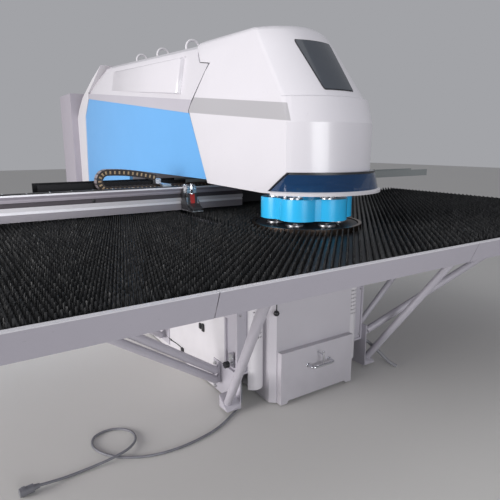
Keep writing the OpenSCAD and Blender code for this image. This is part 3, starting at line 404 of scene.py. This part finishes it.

# %% [markdown]
# ## Finish of each solid
# The record names a material slot for every solid, and most solids take the finish of
# their slot. A few get a paint of their own, and those are named one by one, such as the
# clamp bar's profile, whose bands carry painted highlights and painted shade, the drawer
# and its cabinet, painted darker as painted shade under the table, and the narrow red
# lever in a clamp's jaw.

# %% Finish of each solid
finishes = {
    "white_paint": white_paint, "grey_paint": grey_paint, "blue_paint": blue_paint,
    "turret_blue": turret_blue, "shell_white": shell_white, "dark_steel": dark_steel,
    "bright_steel": bright_steel, "zinc_sheet": zinc_sheet, "anodised": anodised,
    "chrome": chrome, "bristle": bristle_black, "visor_clear": visor_clear,
    "smoked_glass": smoked_glass, "ring_steel": ring_steel, "black_plastic": black_plastic,
    "clamp_red": clamp_red, "chain_plastic": chain_plastic, "cable_grey": cable_rubber,
    "cabinet_grey": cabinet_grey}
special = {"clamp_bar": bar_lit_and_shaded, "cable_trough": trough_metal, "front_shell": head_white,
           "scrap_cabinet": shaded_drawer_white, "scrap_drawer": shaded_drawer_white}
for node in ("table_left_frame", "table_mid_frame", "table_right_frame"):
    special[node] = tray_shade_paint
for node in ("fascia_outer_left", "fascia_inner_left", "fascia_inner_right", "fascia_outer_right"):
    special[node] = fascia_highlit_paint
clamp_middles = {1: -0.386, 2: -1.750}
red_low, red_inside = 1.116, 0.00026
for number, middle in clamp_middles.items():
    jaw = Coat("jaw_%d_paint" % number, (0.50, 0.035, 0.030), rough=0.35)
    off = jaw.axis("X") - middle
    steel = 1 - (off * off < red_inside) * (jaw.axis("Z") > red_low)
    special["clamp_jaw_%d" % number] = masked(jaw, steel, (0.045, 0.045, 0.05))
for part in frame["record"]["subparts"]:
    solid = frame["nodes"][part["node"]]
    solid.data.materials.clear()
    solid.data.materials.append(special.get(part["node"], finishes[part["material_slot"]]))
cable.data.materials.append(cable_rubber)
hose.data.materials.append(hose_grey)
print(len(frame["nodes"]), "solids finished")

# %% [markdown]
# ## Helpers for new pieces
# Each new piece starts as a bmesh, becomes one object at the origin, rides on a body
# of the machine and takes the finish it is given.

# %% Make a piece
def as_piece(name, shape, paint, body, hides=(), smooth=None):
    mesh = bpy.data.meshes.new(name)
    if smooth is not None:
        for face in shape.faces:
            face.smooth = True
        for edge in shape.edges:
            edge.smooth = len(edge.link_faces) == 2 and edge.calc_face_angle(0) < math.radians(smooth)
    shape.to_mesh(mesh)
    shape.free()
    mesh.materials.append(paint)
    piece = bpy.data.objects.new(name, mesh)
    bpy.context.scene.collection.objects.link(piece)
    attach(piece, body)
    if hides:
        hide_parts(*hides)
    return piece


def merged_copy(node):
    """A bmesh of a CAD solid with its loose triangles joined."""
    shape = bmesh.new()
    shape.from_mesh(frame["nodes"][node].data)
    bmesh.ops.remove_doubles(shape, verts=shape.verts, dist=1e-6)
    return shape


# %% [markdown]
# ## Small shapes
# Screws, clips and strips are all over the machine. Four helpers start them from the
# bmesh primitives, and a bevel breaks their edges so that each one catches the light.

# %% Small shapes
def disc_at(shape, foot, along, radius, depth, sides=20, tip=None):
    """A round piece that stands on foot and points along a direction."""
    turn = Vector(along).to_track_quat("Z", "Y").to_matrix().to_4x4()
    place = Matrix.Translation(foot) @ turn @ Matrix.Translation((0, 0, depth / 2))
    made = bmesh.ops.create_cone(shape, cap_ends=True, segments=sides, radius1=radius,
                                 radius2=radius if tip is None else tip, depth=depth, matrix=place)
    return made["verts"]


def block_at(shape, low, high):
    low, high = Vector(low), Vector(high)
    place = Matrix.Translation((low + high) / 2) @ Matrix.Diagonal((*(high - low), 1))
    return bmesh.ops.create_cube(shape, size=1, matrix=place)["verts"]


def soften(shape, width, segments=2, verts=None):
    """Bevel the sharp edges of the whole shape, or of the given vertices' part."""
    edges = {e for v in verts for e in v.link_edges} if verts else shape.edges
    sharp = [e for e in edges if e.calc_face_angle(0) > 0.6]
    bmesh.ops.bevel(shape, geom=sharp, offset=width, offset_type="OFFSET", segments=segments,
                    profile=0.5, affect="EDGES", material=-1, clamp_overlap=True)


def socket_screw(shape, foot, along, radius):
    """A cap screw: a low disc with a bevelled rim and a round socket."""
    along = Vector(along).normalized()
    verts = disc_at(shape, foot, along, radius, radius * 0.8)
    cap = max({f for v in verts for f in v.link_faces}, key=lambda f: f.calc_center_median().dot(along))
    bmesh.ops.inset_individual(shape, faces=[cap], thickness=radius * 0.14, depth=radius * 0.12)
    bmesh.ops.inset_individual(shape, faces=[cap], thickness=radius * 0.38, depth=0)
    bmesh.ops.inset_individual(shape, faces=[cap], thickness=radius * 0.02, depth=-radius * 0.35)


def swept_ring(shape, section, start, sweep, steps):
    """A section in the XZ plane turned round the turret's axis, in degrees from +X."""
    corners = [shape.verts.new((r, 0, z)) for r, z in section]
    face = shape.faces.new(corners)
    turn = Matrix.Rotation(math.radians(start), 3, "Z")
    bmesh.ops.rotate(shape, verts=corners, cent=(0, 0, 0), matrix=turn)
    bmesh.ops.spin(shape, geom=[face, *face.edges, *corners], cent=(0, 0, 0), axis=(0, 0, 1),
                   angle=math.radians(sweep), steps=steps, use_duplicate=False)
    bmesh.ops.recalc_face_normals(shape, faces=shape.faces)


print("shapes: disc, block, screw, swept ring")

# %% [markdown]
# ## Moulded shells
# The head and the arm cover are moulded in one piece each. Their solids are drawn over
# flat slices, so each gets a merged copy whose faces shade as one skin, which keeps the
# solid's exact outline where a new surface would only come near it. On the head, a cut
# is made just under the sloping face, and its vertices move outwards to form a short
# ledge. The creases beside it stay sharp in the shading, and so do the two corners.

# %% Moulded shells
arc_centre, arc_radius = 0.043, 0.385
corner_turn = 52.4
upright_top, ledge_height, ledge_out = 1.613, 1.747, 0.018
ledge_lip = ledge_height - 0.007
upright_half, ledge_half, ledge_setback = 0.305, 0.300, 0.064


def arc_at(height, x):
    """How far the head's front leans back at a height, and the turn of a point on its arc."""
    share = max(0, (height - upright_top) / (ledge_height - upright_top))
    factor = 1 - (1 - ledge_half / upright_half) * share
    return ledge_setback * share, math.asin(max(-1, min(1, x / (factor * arc_radius))))


def front_ledge(shape):
    """Swell the lower front outwards, up to a short ledge under the sloping face."""
    bmesh.ops.bisect_plane(shape, geom=[*shape.verts, *shape.edges, *shape.faces], dist=1e-5,
                           plane_co=(0, 0, ledge_lip), plane_no=(0, 0, 1))
    end_turn, fade = corner_turn + 0.6, 7
    for v in shape.verts:
        if abs(v.co.z - ledge_lip) < 1e-4:
            setback, turn = arc_at(v.co.z, v.co.x)
            skin = arc_centre + setback - arc_radius * math.cos(turn)
            if abs(v.co.y - skin) < 0.003 and abs(math.degrees(turn)) < end_turn:
                out = ledge_out * min(1, (end_turn - abs(math.degrees(turn))) / fade)
                v.co += Vector((math.sin(turn), -math.cos(turn), 0)) * out


def on_corner(place):
    turn = math.degrees(arc_at(place.z, place.x)[1])
    return abs(abs(turn) - corner_turn) < 0.8 and place.y < -0.12


def keep_creases(piece, heights):
    """Keep the level creases of the front, and its two corners, sharp in the shading."""
    mesh = piece.data
    kept = 0
    for edge in mesh.edges:
        ends = [mesh.vertices[i].co for i in edge.vertices]
        level = any(all(abs(end.z - height) < 0.0012 for end in ends) for height in heights)
        if all(on_corner(end) for end in ends) or level and all(end.y < -0.05 for end in ends):
            edge.use_edge_sharp = True
            kept += 1
    print(kept, "crease edges")


def moulded(name, node, paint, angle, reshape=None):
    shape = merged_copy(node)
    if reshape:
        reshape(shape)
    bmesh.ops.dissolve_limit(shape, angle_limit=math.radians(1), verts=shape.verts, edges=shape.edges)
    bmesh.ops.triangulate(shape, faces=shape.faces)
    piece = as_piece(name, shape, paint, "machine", [node], smooth=angle)
    normals = piece.modifiers.new("even_normals", "WEIGHTED_NORMAL")
    normals.keep_sharp = True
    return piece


head_skin = moulded("head_skin", "front_shell", head_white, 46, front_ledge)
keep_creases(head_skin, (upright_top, ledge_lip, ledge_height))
arm_skin = moulded("arm_skin", "rear_shell", shell_white, 30)
print("skins", len(head_skin.data.polygons), len(arm_skin.data.polygons))

# %% [markdown]
# The smoked panel follows the head's round front. Its grid is laid out flat, then each
# vertex goes to the arc that the head has at that height: first a radius, a setback
# and a corner factor are read between two of the head's sections, then the point is
# pushed out by the panel's own thickness.

# %% Smoked panel in the head
low_section = (ledge_height, ledge_setback, ledge_half / upright_half)
high_section = (2.040, 0.297, 0.275 / upright_half)
panel_out, panel_up = 0.78, 0.62
panel_low, panel_high, panel_half, panel_widens = 1.782, 2.046, 0.098, 0.024


def on_head(across, height, out):
    share = (height - low_section[0]) / (high_section[0] - low_section[0])
    setback = low_section[1] + (high_section[1] - low_section[1]) * share
    factor = low_section[2] + (high_section[2] - low_section[2]) * share
    turn = math.asin(across / (factor * arc_radius))
    return Vector((across, arc_centre + setback - arc_radius * math.cos(turn), height)) + \
        out * Vector((math.sin(turn) * panel_out, -math.cos(turn) * panel_out, panel_up))


def rounded(share, height_share, corner):
    """Half width of the panel at a height, as a share, with round corners."""
    edge = min(height_share, 1 - height_share)
    return share if edge >= corner else share - corner * 0.55 + 0.55 * math.sqrt(
        max(0, corner ** 2 - (corner - edge) ** 2))


def head_panel(name, grow, out, thick, paint, hides=()):
    shape = bmesh.new()
    columns, rows = 24, 30
    bmesh.ops.create_grid(shape, x_segments=columns, y_segments=rows, size=1)
    low, high = panel_low - grow, panel_high + grow
    for v in shape.verts:
        rise = (v.co.y + 1) / 2
        half = (panel_half + panel_widens * rise + grow) * rounded(1, rise, 0.09)
        v.co = on_head(v.co.x * half, low + (high - low) * rise, out)
    made = bmesh.ops.extrude_face_region(shape, geom=list(shape.faces))["geom"]
    for v in (v for v in made if isinstance(v, bmesh.types.BMVert)):
        v.co += Vector((v.co.x * 0.9, -panel_out, panel_up)).normalized() * thick
    bmesh.ops.recalc_face_normals(shape, faces=shape.faces)
    return as_piece(name, shape, paint, "machine", hides, smooth=40)


head_panel("panel_seal", 0.006, 0.0002, 0.0022, black_plastic)
panel = head_panel("smoked_panel", 0.002, 0.0012, 0.0030, smoked_glass, ["windshield"])
print("panel of", len(panel.data.polygons), "faces")

# %% [markdown]
# Each side of the arm cover swells out in one long flat form that starts with a short
# step behind the head and dies away to the rear. A box with a bevel would keep one
# depth, so it is a loft over five sections.

# %% Swelling on the arm cover
def loft(shape, sections):
    """Join closed sections of equal length, with a face on both ends."""
    rings = [[shape.verts.new(point) for point in section] for section in sections]
    for first, second in zip(rings, rings[1:]):
        for i in range(len(first)):
            j = (i + 1) % len(first)
            shape.faces.new((first[i], first[j], second[j], second[i]))
    shape.faces.new(rings[0])
    shape.faces.new(rings[-1])
    bmesh.ops.recalc_face_normals(shape, faces=shape.faces)


def band_height(y):
    """Height of the grey band's upper edge on the arm."""
    return 1.694 + (y + 0.19) * 0.0994


def roof_height(y):
    """Height of the arm's roof, which rises by 117 mm over 2.16 m."""
    return 2.118 + (y - 0.430) * (0.117 / 2.160)


skin_half, skin_lean, under_skin = 0.380, 0.165, 0.006
above_band, below_roof, inner_low, inner_high = 0.030, 0.070, 0.350, 0.335
swell = bmesh.new()
for side in (-1, 1):
    sections = []
    for y, out in ((0.884, -0.004), (0.892, 0.026), (0.906, 0.034), (1.60, 0.020), (2.45, -0.003)):
        edge = band_height(y)
        low, high = above_band, roof_height(y) - below_roof - edge
        section = []
        for rise, stand in ((low, -under_skin), (low + 0.007, out),
                            (high - 0.014, out), (high, -under_skin)):
            section.append((side * (skin_half - skin_lean * rise + stand), y, edge + rise))
        section += [(side * inner_high, y, edge + high), (side * inner_low, y, edge + low)]
        sections.append(section)
    loft(swell, sections)
soften(swell, 0.003, 2)
as_piece("arm_swelling", swell, shell_white, "machine", smooth=50)
print("swelling up to", round(roof_height(0.9) - below_roof, 3), "m")

# %% [markdown]
# Three cast rings stand on the middle line of the roof for the crane's hooks. Each is
# a full round with a neck that widens into its base.

# %% Lifting rings
rings = bmesh.new()
rod, neck = 0.010, 0.014
for y, radius in ((1.430, 0.066), (2.010, 0.064), (2.520, 0.062)):
    foot = roof_height(y)
    centre = Vector((0, y, foot + neck + radius * 0.9))
    section = [(radius - rod + rod * math.cos(a), 0, rod * math.sin(a))
               for a in (math.tau * k / 14 for k in range(14))]
    made = [rings.verts.new(point) for point in section]
    face = rings.faces.new(made)
    bmesh.ops.spin(rings, geom=[face, *face.edges, *made], cent=(0, 0, 0), axis=(0, 0, 1),
                   angle=math.tau, steps=48, use_merge=True, use_duplicate=False)
    near = [v for v in rings.verts if v.co.length < 0.2]
    bmesh.ops.rotate(rings, verts=near, cent=(0, 0, 0), matrix=Matrix.Rotation(math.pi / 2, 3, "X"))
    bmesh.ops.translate(rings, vec=centre, verts=near)
    disc_at(rings, (0, y, foot - 0.004), (0, 0, 1), 0.034, 0.022, 32, tip=0.016)
    disc_at(rings, (0, y, foot - 0.004), (0, 0, 1), 0.036, 0.010, 32)
    print("ring at", y, "up to", round(centre.z + radius, 3))
as_piece("lifting_rings_cast", rings, white_paint, "machine", ["lifting_rings"], smooth=40)

# %% [markdown]
# ## Seal round the visor
# A black rubber profile holds the clear visor along its top and down both ends, where
# the visor is cut to the head's slanted edge. The top is a section turned round the
# turret's axis, and each end is a loft, because the visor is a cone there.

# %% Seal round the visor
visor_low, visor_high = 0.402, 0.378
seal_bottom, seal_top = 1.265, 1.362
end_high_y = 0.2138
slant_y, slant_z, slant_back, slant_rise = -0.1218, 1.245, 0.092, 0.117
visor_half = math.degrees(math.acos(end_high_y / visor_high))
seal = bmesh.new()
swept_ring(seal, [(visor_high - 0.012, seal_top - 0.012), (visor_high + 0.003, seal_top - 0.014),
                  (visor_high + 0.002, seal_top), (visor_high - 0.012, seal_top)],
           -90 - visor_half, 2 * visor_half, 48)
for side in (-1, 1):
    sections = []
    for share in (k / 8 for k in range(9)):
        z = seal_bottom + (seal_top - seal_bottom) * share
        radius = visor_low + (visor_high - visor_low) * share
        y = slant_y - slant_back * (z - slant_z) / slant_rise
        x = math.sqrt(radius ** 2 - y ** 2)
        sections.append([(side * (x + 0.003), y, z), (side * (x + 0.003), y - 0.012, z),
                         (side * (x - 0.006), y - 0.012, z), (side * (x - 0.006), y, z)])
    loft(seal, sections)
as_piece("visor_seal", seal, black_plastic, "machine", smooth=40)
print("visor seal turns", round(2 * visor_half), "degrees")

# %% [markdown]
# ## Drag chain
# The links of the chain are dark nylon with pale inserts in their sides, and lids show
# on the turn and on the upper run. One function gives the place of every link, on the
# straight lower run, round the turn and along the sagging upper run, and each part is
# copied to its places.

# %% Drag chain
chain_low_z, chain_high_z, chain_y, link_pitch = 1.2153, 1.325, 0.955, 0.030
low_links, turn_links, high_links, sag = 46, 7, 11, 1.5
turn_radius = (chain_high_z - chain_low_z) / 2
turn_x = -0.960 + turn_radius + 0.020
chain_lid = metal("chain_lid", (0.30, 0.26, 0.28), 0.36, (2, 2, 2), metallic=0.3)
chain_insert = plastic("chain_insert", (0.42, 0.30, 0.17), 0.45)


def link_places():
    """Middle of each link, with the link's own X along the chain and Z outwards."""
    for i in range(low_links):
        place = Matrix.Translation((turn_x + (i + 0.5) * link_pitch, chain_y, chain_low_z))
        yield place @ Matrix.Rotation(math.pi, 4, "X")
    middle = Vector((turn_x, chain_y, (chain_low_z + chain_high_z) / 2))
    for i in range(turn_links):
        angle = math.pi / 2 + (i + 0.5) * math.pi / turn_links
        place = middle + turn_radius * Vector((math.cos(angle), 0, math.sin(angle)))
        yield Matrix.Translation(place) @ Matrix.Rotation(math.pi / 2 - angle, 4, "Y")
    start = Vector((turn_x + 0.0008, chain_y, chain_high_z))
    for i in range(high_links):
        slope = math.radians(sag * i)
        along = Vector((math.cos(slope), 0, -math.sin(slope)))
        yield Matrix.Translation(start + along * link_pitch / 2) @ Matrix.Rotation(slope, 4, "Y")
        start += along * link_pitch


def link_part(low, high, width):
    part = bmesh.new()
    block_at(part, low, high)
    soften(part, width)
    mesh = bpy.data.meshes.new("link_part")
    part.to_mesh(mesh)
    part.free()
    return mesh


def on_links(name, places, parts, paint):
    shape = bmesh.new()
    for place in places:
        for part in parts:
            part.transform(place)
            shape.from_mesh(part)
            part.transform(place.inverted())
    print(name, len(shape.faces), "faces")
    return as_piece(name, shape, paint, "beam", smooth=40)


lid = link_part((-0.0128, -0.028, 0.0195), (0.0128, 0.028, 0.0215), 0.0008)
inserts = [link_part((-0.0055, side - 0.0010, -0.010), (0.0055, side + 0.0010, 0.010), 0.0009)
           for side in (-0.030, 0.030)]
on_links("chain_lids", list(link_places())[low_links:], [lid], chain_lid)
on_links("chain_inserts", link_places(), inserts, chain_insert)

# %% [markdown]
# ## Clamp bar
# The bar is an extruded profile. Its top carries a black rubber cover with a row of cap
# screws, and two round black plugs close bores in its face.

# %% Clamp bar
bar_face, bar_back, bar_top = 0.800, 0.855, 1.222
bar_left, bar_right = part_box("clamp_bar")[0][0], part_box("clamp_bar")[1][0]
cover = bmesh.new()
block_at(cover, (bar_left + 0.01, bar_face + 0.004, bar_top),
         (bar_right - 0.012, bar_back - 0.002, bar_top + 0.006))
soften(cover, 0.0025, 3)
as_piece("bar_cover", cover, black_plastic, "bar", smooth=40)
pins = bmesh.new()
for x in (-1.020, -2.200):
    disc_at(pins, (x, bar_face + 0.006, 1.164), (0, -1, 0), 0.011, 0.0055, 28)
soften(pins, 0.0008)
as_piece("bar_bores", pins, black_plastic, "bar", smooth=40)
screws = bmesh.new()
end_space, screw_pitch = 0.05, 0.125
spaces = int((bar_right - bar_left - 2 * end_space) / screw_pitch)
for i in range(spaces + 1):
    foot = (bar_left + end_space + screw_pitch * i, bar_face + 0.028, bar_top + 0.0055)
    socket_screw(screws, foot, (0, 0, 1), 0.0045)
as_piece("bar_screws", screws, chrome, "bar", smooth=40)
print("bar from", round(bar_left, 3), "to", round(bar_right, 3), "with", spaces + 1, "screws")

# %% [markdown]
# ## Sheet clamps
# Each clamp has dark triangular cheeks, a polished adjusting bolt in front and cap
# screws on top. A plate starts as one outline of a few vertices and is extruded to its
# thickness, which is the quickest way to an exact flat part.

# %% Sheet clamps
def plate_at(shape, x0, x1, outline):
    """A flat plate across X with the given outline in Y and Z."""
    face = shape.faces.new([shape.verts.new((x0, y, z)) for y, z in outline])
    made = bmesh.ops.extrude_face_region(shape, geom=[face])["geom"]
    moved = [v for v in made if isinstance(v, bmesh.types.BMVert)]
    bmesh.ops.translate(shape, vec=(x1 - x0, 0, 0), verts=moved)
    bmesh.ops.recalc_face_normals(shape, faces=shape.faces)


jaw_low, clamp_half = 1.066, 0.045
cheek_line = [(0.799, jaw_low + 0.009), (0.799, jaw_low + 0.140), (0.780, jaw_low + 0.150),
              (0.700, jaw_low + 0.028), (0.662, jaw_low + 0.020), (0.662, jaw_low + 0.009)]
bolt_y = 0.7335
for number, x in clamp_middles.items():
    cheeks = bmesh.new()
    for side in (-1, 1):
        inner = x + side * (clamp_half - 0.0012)
        plate_at(cheeks, inner, inner + side * 0.004, cheek_line)
    soften(cheeks, 0.0009)
    as_piece("clamp_%d_cheeks" % number, cheeks, dark_steel, "clamp_%d" % number, smooth=40)
    bolts = bmesh.new()
    disc_at(bolts, (x, bolt_y, jaw_low + 0.112), (0, 0, 1), 0.0070, 0.062, 28)
    disc_at(bolts, (x, bolt_y, jaw_low + 0.172), (0, 0, 1), 0.0120, 0.009, 6)
    disc_at(bolts, (x, bolt_y, jaw_low + 0.110), (0, 0, 1), 0.0105, 0.006, 28)
    soften(bolts, 0.0008)
    for dx in (-0.026, 0.026):
        socket_screw(bolts, (x + dx, 0.785, 1.2355), (0, 0, 1), 0.007)
        socket_screw(bolts, (x + dx, 0.7385, jaw_low + 0.148), (0, -1, 0), 0.0055)
    as_piece("clamp_%d_bolts" % number, bolts, chrome, "clamp_%d" % number, smooth=40)
    print("clamp", number, "at", x)

# %% [markdown]
# ## Fittings on the base
# Two black clips sit on the cover on the left, and a thin wire with a small black plug
# runs along it, held by two saddles. The wire is a tube on a curve, as the cords are.

# %% Fittings on the base
cover_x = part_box("base_cover_left")[0][0]
clips = bmesh.new()
for y, low, high in ((0.424, 0.345, 0.382), (0.386, 0.338, 0.390)):
    block_at(clips, (cover_x - 0.010, y - 0.013, low), (cover_x + 0.0005, y + 0.013, high))
soften(clips, 0.004, 3)
as_piece("cover_clips", clips, black_plastic, "machine", smooth=40)

wire_route = [(cover_x - 0.0035, y, z) for y, z in (
    (1.04, 0.118), (0.98, 0.105), (0.90, 0.098), (0.82, 0.102), (0.76, 0.104), (0.72, 0.098))]
wire = tube_along("cover_wire", curve_through(wire_route, 5), 0.003)
wire.data.materials.append(black_plastic)
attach(wire, "machine")
ends = bmesh.new()
block_at(ends, (cover_x - 0.012, 0.690, 0.070), (cover_x + 0.0005, 0.722, 0.108))
for y, z in ((1.04, 0.118), (0.90, 0.098)):
    block_at(ends, (cover_x - 0.0075, y - 0.006, z - 0.006), (cover_x + 0.0005, y + 0.006, z + 0.006))
soften(ends, 0.002)
as_piece("wire_ends", ends, black_plastic, "machine", smooth=40)
print("wire of", round(line_length([Vector(place) for place in wire_route]), 2), "m")

# %% [markdown]
# ## Drawer handle
# The handle is one bent rod with round corners. A polyline with arcs at its two bends
# gets a round bevel, and a thin locking stud stands on it.

# %% Drawer handle
handle_front, handle_z, handle_x, bend = -0.202, 0.215, 0.082, 0.018
drawer_face, stud_x = -0.1503, -0.008
bow = [Vector((-handle_x, drawer_face, handle_z))]
for side in (-1, 1):
    for k in range(7):
        angle = math.pi / 2 * k / 6
        turn = angle if side < 0 else math.pi / 2 - angle
        bow.append(Vector((side * (handle_x - bend + bend * math.cos(turn)),
                           handle_front + bend - bend * math.sin(turn), handle_z)))
bow.append(Vector((handle_x, drawer_face, handle_z)))
handle = tube_along("drawer_bow", bow, 0.0078)
handle.data.materials.append(chrome)
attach(handle, "drawer")
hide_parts("drawer_handle")
stud = bmesh.new()
disc_at(stud, (stud_x, handle_front, handle_z), (0, 0, 1), 0.0048, 0.080, 24)
disc_at(stud, (stud_x, handle_front, handle_z + 0.079), (0, 0, 1), 0.0075, 0.008, 24)
disc_at(stud, (stud_x, drawer_face, handle_z + 0.066), (0, -1, 0), 0.0042, 0.052, 24)
for side in (-1, 1):
    disc_at(stud, (side * handle_x, drawer_face, handle_z), (0, -1, 0), 0.0125, 0.004, 28)
soften(stud, 0.0007)
as_piece("drawer_stud", stud, chrome, "drawer", smooth=40)
print("handle of", round(line_length(bow), 3), "m")

# %% [markdown]
# ## Screws and bolts
# Hexagon bolts on washers hold the struts' foot plates, and socket screws hold the
# housings. The cable leaves through a gland: a nut, and a tapered sleeve that keeps the
# cable from kinking.

# %% Screws and bolts
bolts = bmesh.new()
plate_x, washer = 0.5058, 0.0025
for side in (-1, 1):
    for y, z in ((-0.035, 0.040), (-0.035, 0.190), (0.225, 0.040), (0.225, 0.190), (0.095, 0.040),
                 (0.955, 0.175), (1.045, 0.175)):
        disc_at(bolts, (side * plate_x, y, z), (side, 0, 0), 0.0150, washer, 24)
        disc_at(bolts, (side * (plate_x + washer), y, z), (side, 0, 0), 0.0115, 0.0090, 6)
soften(bolts, 0.0007)
as_piece("foot_bolts", bolts, bright_steel, "machine", smooth=40)
covers = bmesh.new()
for side in (-1, 1):
    for z in (0.240, 0.560, 0.900):
        for x in (0.345, 0.475):
            socket_screw(covers, (side * x, -0.0198, z), (0, -1, 0), 0.0055)
    for y in (0.30, 1.05, 1.80, 2.55, 3.20):
        for z in (0.060, 0.930):
            socket_screw(covers, (side * 0.4998, y, z), (side, 0, 0), 0.0065)
as_piece("cover_screws", covers, bright_steel, "machine", smooth=40)
relief = bmesh.new()
exit_x, exit_y, exit_z = cable_route[0]
disc_at(relief, (exit_x, exit_y, exit_z + 0.0005), (0, 0, -1), 0.0150, 0.010, 6)
disc_at(relief, (exit_x, exit_y, exit_z - 0.0095), (0, 0, -1), 0.0115, 0.034, 28, tip=0.0078)
soften(relief, 0.0006)
as_piece("cable_relief", relief, black_plastic, "machine", smooth=40)
print("bolts and screws in place")

# %% [markdown]
# ## Brushes
# The table is covered with brush tufts in rows at 45 degrees, on which the sheet
# slides. Each tuft is a bundle of nylon bristles that ends in a narrow, uneven tip. Hair
# would be lost in the export, so five tufts are made as meshes and copied to each place.

# %% Brushes
tray_top, brush_tip = 1.028, 1.064
tuft_foot, tuft_head = 0.0058, 0.0030
row_pitch, table_front = 0.028, -0.925
first_x, first_y, spare_rows = 0.0085, -0.898, 200
ring_outside, ring_space = 0.322, 0.008


def tuft_mesh(name):
    shape = bmesh.new()
    height = brush_tip - tray_top - 0.001
    bmesh.ops.create_cone(shape, cap_ends=True, segments=6, radius1=tuft_foot, radius2=tuft_head,
                          depth=height)
    top = [f for f in shape.faces if all(v.co.z > 0 for v in f.verts)]
    for v in top[0].verts:
        v.co += Vector((random.uniform(-1, 1), random.uniform(-1, 1), random.uniform(-5, 0))) * 0.0011
    bmesh.ops.poke(shape, faces=top, offset=0.001)
    below = [f for f in shape.faces if all(v.co.z < 0 for v in f.verts)]
    bmesh.ops.delete(shape, geom=below, context="FACES_ONLY")
    mesh = bpy.data.meshes.new(name)
    shape.to_mesh(mesh)
    shape.free()
    return mesh


tuft_kinds = [tuft_mesh("tuft_%d" % i) for i in range(5)]


def tuft_places(x0, x1, y0, y1, clear_ring):
    """Places of the tufts: rows at 45 degrees, with the tufts a pitch apart along a row."""
    step = row_pitch / math.sqrt(2)
    for i in range(int(2 * x0 / step) - spare_rows, int(2 * x1 / step) + spare_rows):
        for k in range(int((y0 - table_front) / step) - 1, int((y1 - table_front) / step) + 1):
            x = (2 * i + k) * step + first_x
            y = first_y + k * step
            on_ring = clear_ring and x * x + y * y < (ring_outside + ring_space) ** 2
            if x0 < x < x1 and y0 < y < y1 and not on_ring:
                yield x, y


def brush_field(name, zones, node, clear_ring=False):
    field = bmesh.new()
    middle = (tray_top + brush_tip) / 2
    count = 0
    for zone in zones:
        for x, y in tuft_places(*zone, clear_ring):
            kind = random.choice(tuft_kinds)
            turn = Matrix.Rotation(random.uniform(0, math.tau), 4, "Z")
            lean = Matrix.Rotation(random.uniform(-0.06, 0.06), 4, "X")
            place = Matrix.Translation((x, y, middle)) @ turn @ lean
            kind.transform(place)
            field.from_mesh(kind)
            kind.transform(place.inverted())
            count += 1
    print(name, count, "tufts")
    return as_piece(name, field, bristle_black, "machine", [node], smooth=50)


brush_field("brush_tufts_left", [(-2.491, -0.449, -0.894, 1.292)], "brush_left")
brush_field("brush_tufts_mid", [(-0.441, 0.441, -0.894, 0.293), (-0.391, 0.391, 0.300, 1.950)],
            "brush_mid", True)
brush_field("brush_tufts_right", [(0.449, 2.222, -0.894, 1.292)], "brush_right")

# %% [markdown]
# ## Stage
# A pale floor takes the shadow. A wide soft lamp above, one from the left that gives
# the machine its bright side, a weaker one in front and an even sky light the scene.
# The two side lamps have a narrow spread, so that the floor near them isn't burnt out.

# %% Stage
def ground():
    shape = bmesh.new()
    bmesh.ops.create_grid(shape, x_segments=1, y_segments=1, size=30)
    mesh = bpy.data.meshes.new("floor")
    shape.to_mesh(mesh)
    shape.free()
    floor = bpy.data.objects.new("floor", mesh)
    bpy.context.scene.collection.objects.link(floor)
    p = Paint("pale_floor")
    p.set(color=(0.62, 0.61, 0.59), rough=0.85)
    mesh.materials.append(p.material)
    return floor


ground()


def area_lamp(name, place, target, size, power, color=(1, 1, 1), spread=180):
    data = bpy.data.lights.new(name, "AREA")
    data.shape = "RECTANGLE"
    data.size, data.size_y = size
    data.energy = power
    data.color = color
    data.spread = math.radians(spread)
    lamp = bpy.data.objects.new(name, data)
    bpy.context.scene.collection.objects.link(lamp)
    lamp.location = place
    lamp.rotation_euler = (Vector(target) - Vector(place)).to_track_quat("-Z", "Y").to_euler()
    return lamp


area_lamp("ceiling_lamp", (-1.5, 0.5, 5.5), (-0.2, 1.0, 0.8), (6, 5), 60)
area_lamp("left_lamp", (-8.0, 1.0, 1.7), (0, 0.9, 1.1), (4.5, 2.4), 166, (1.0, 0.98, 0.97), 90)
area_lamp("front_lamp", (-1.5, -7.0, 1.9), (0, 0.5, 1.1), (3.5, 2.2), 51, (0.97, 0.98, 1.0), 90)
world = bpy.data.worlds.new("studio")
world.use_nodes = True
world.node_tree.nodes["Background"].inputs["Color"].default_value = (0.86, 0.87, 0.92, 1)
world.node_tree.nodes["Background"].inputs["Strength"].default_value = 0.42
bpy.context.scene.world = world
bpy.context.scene.view_settings.view_transform = "Standard"
print("lamps:", [light.name for light in bpy.data.lights])
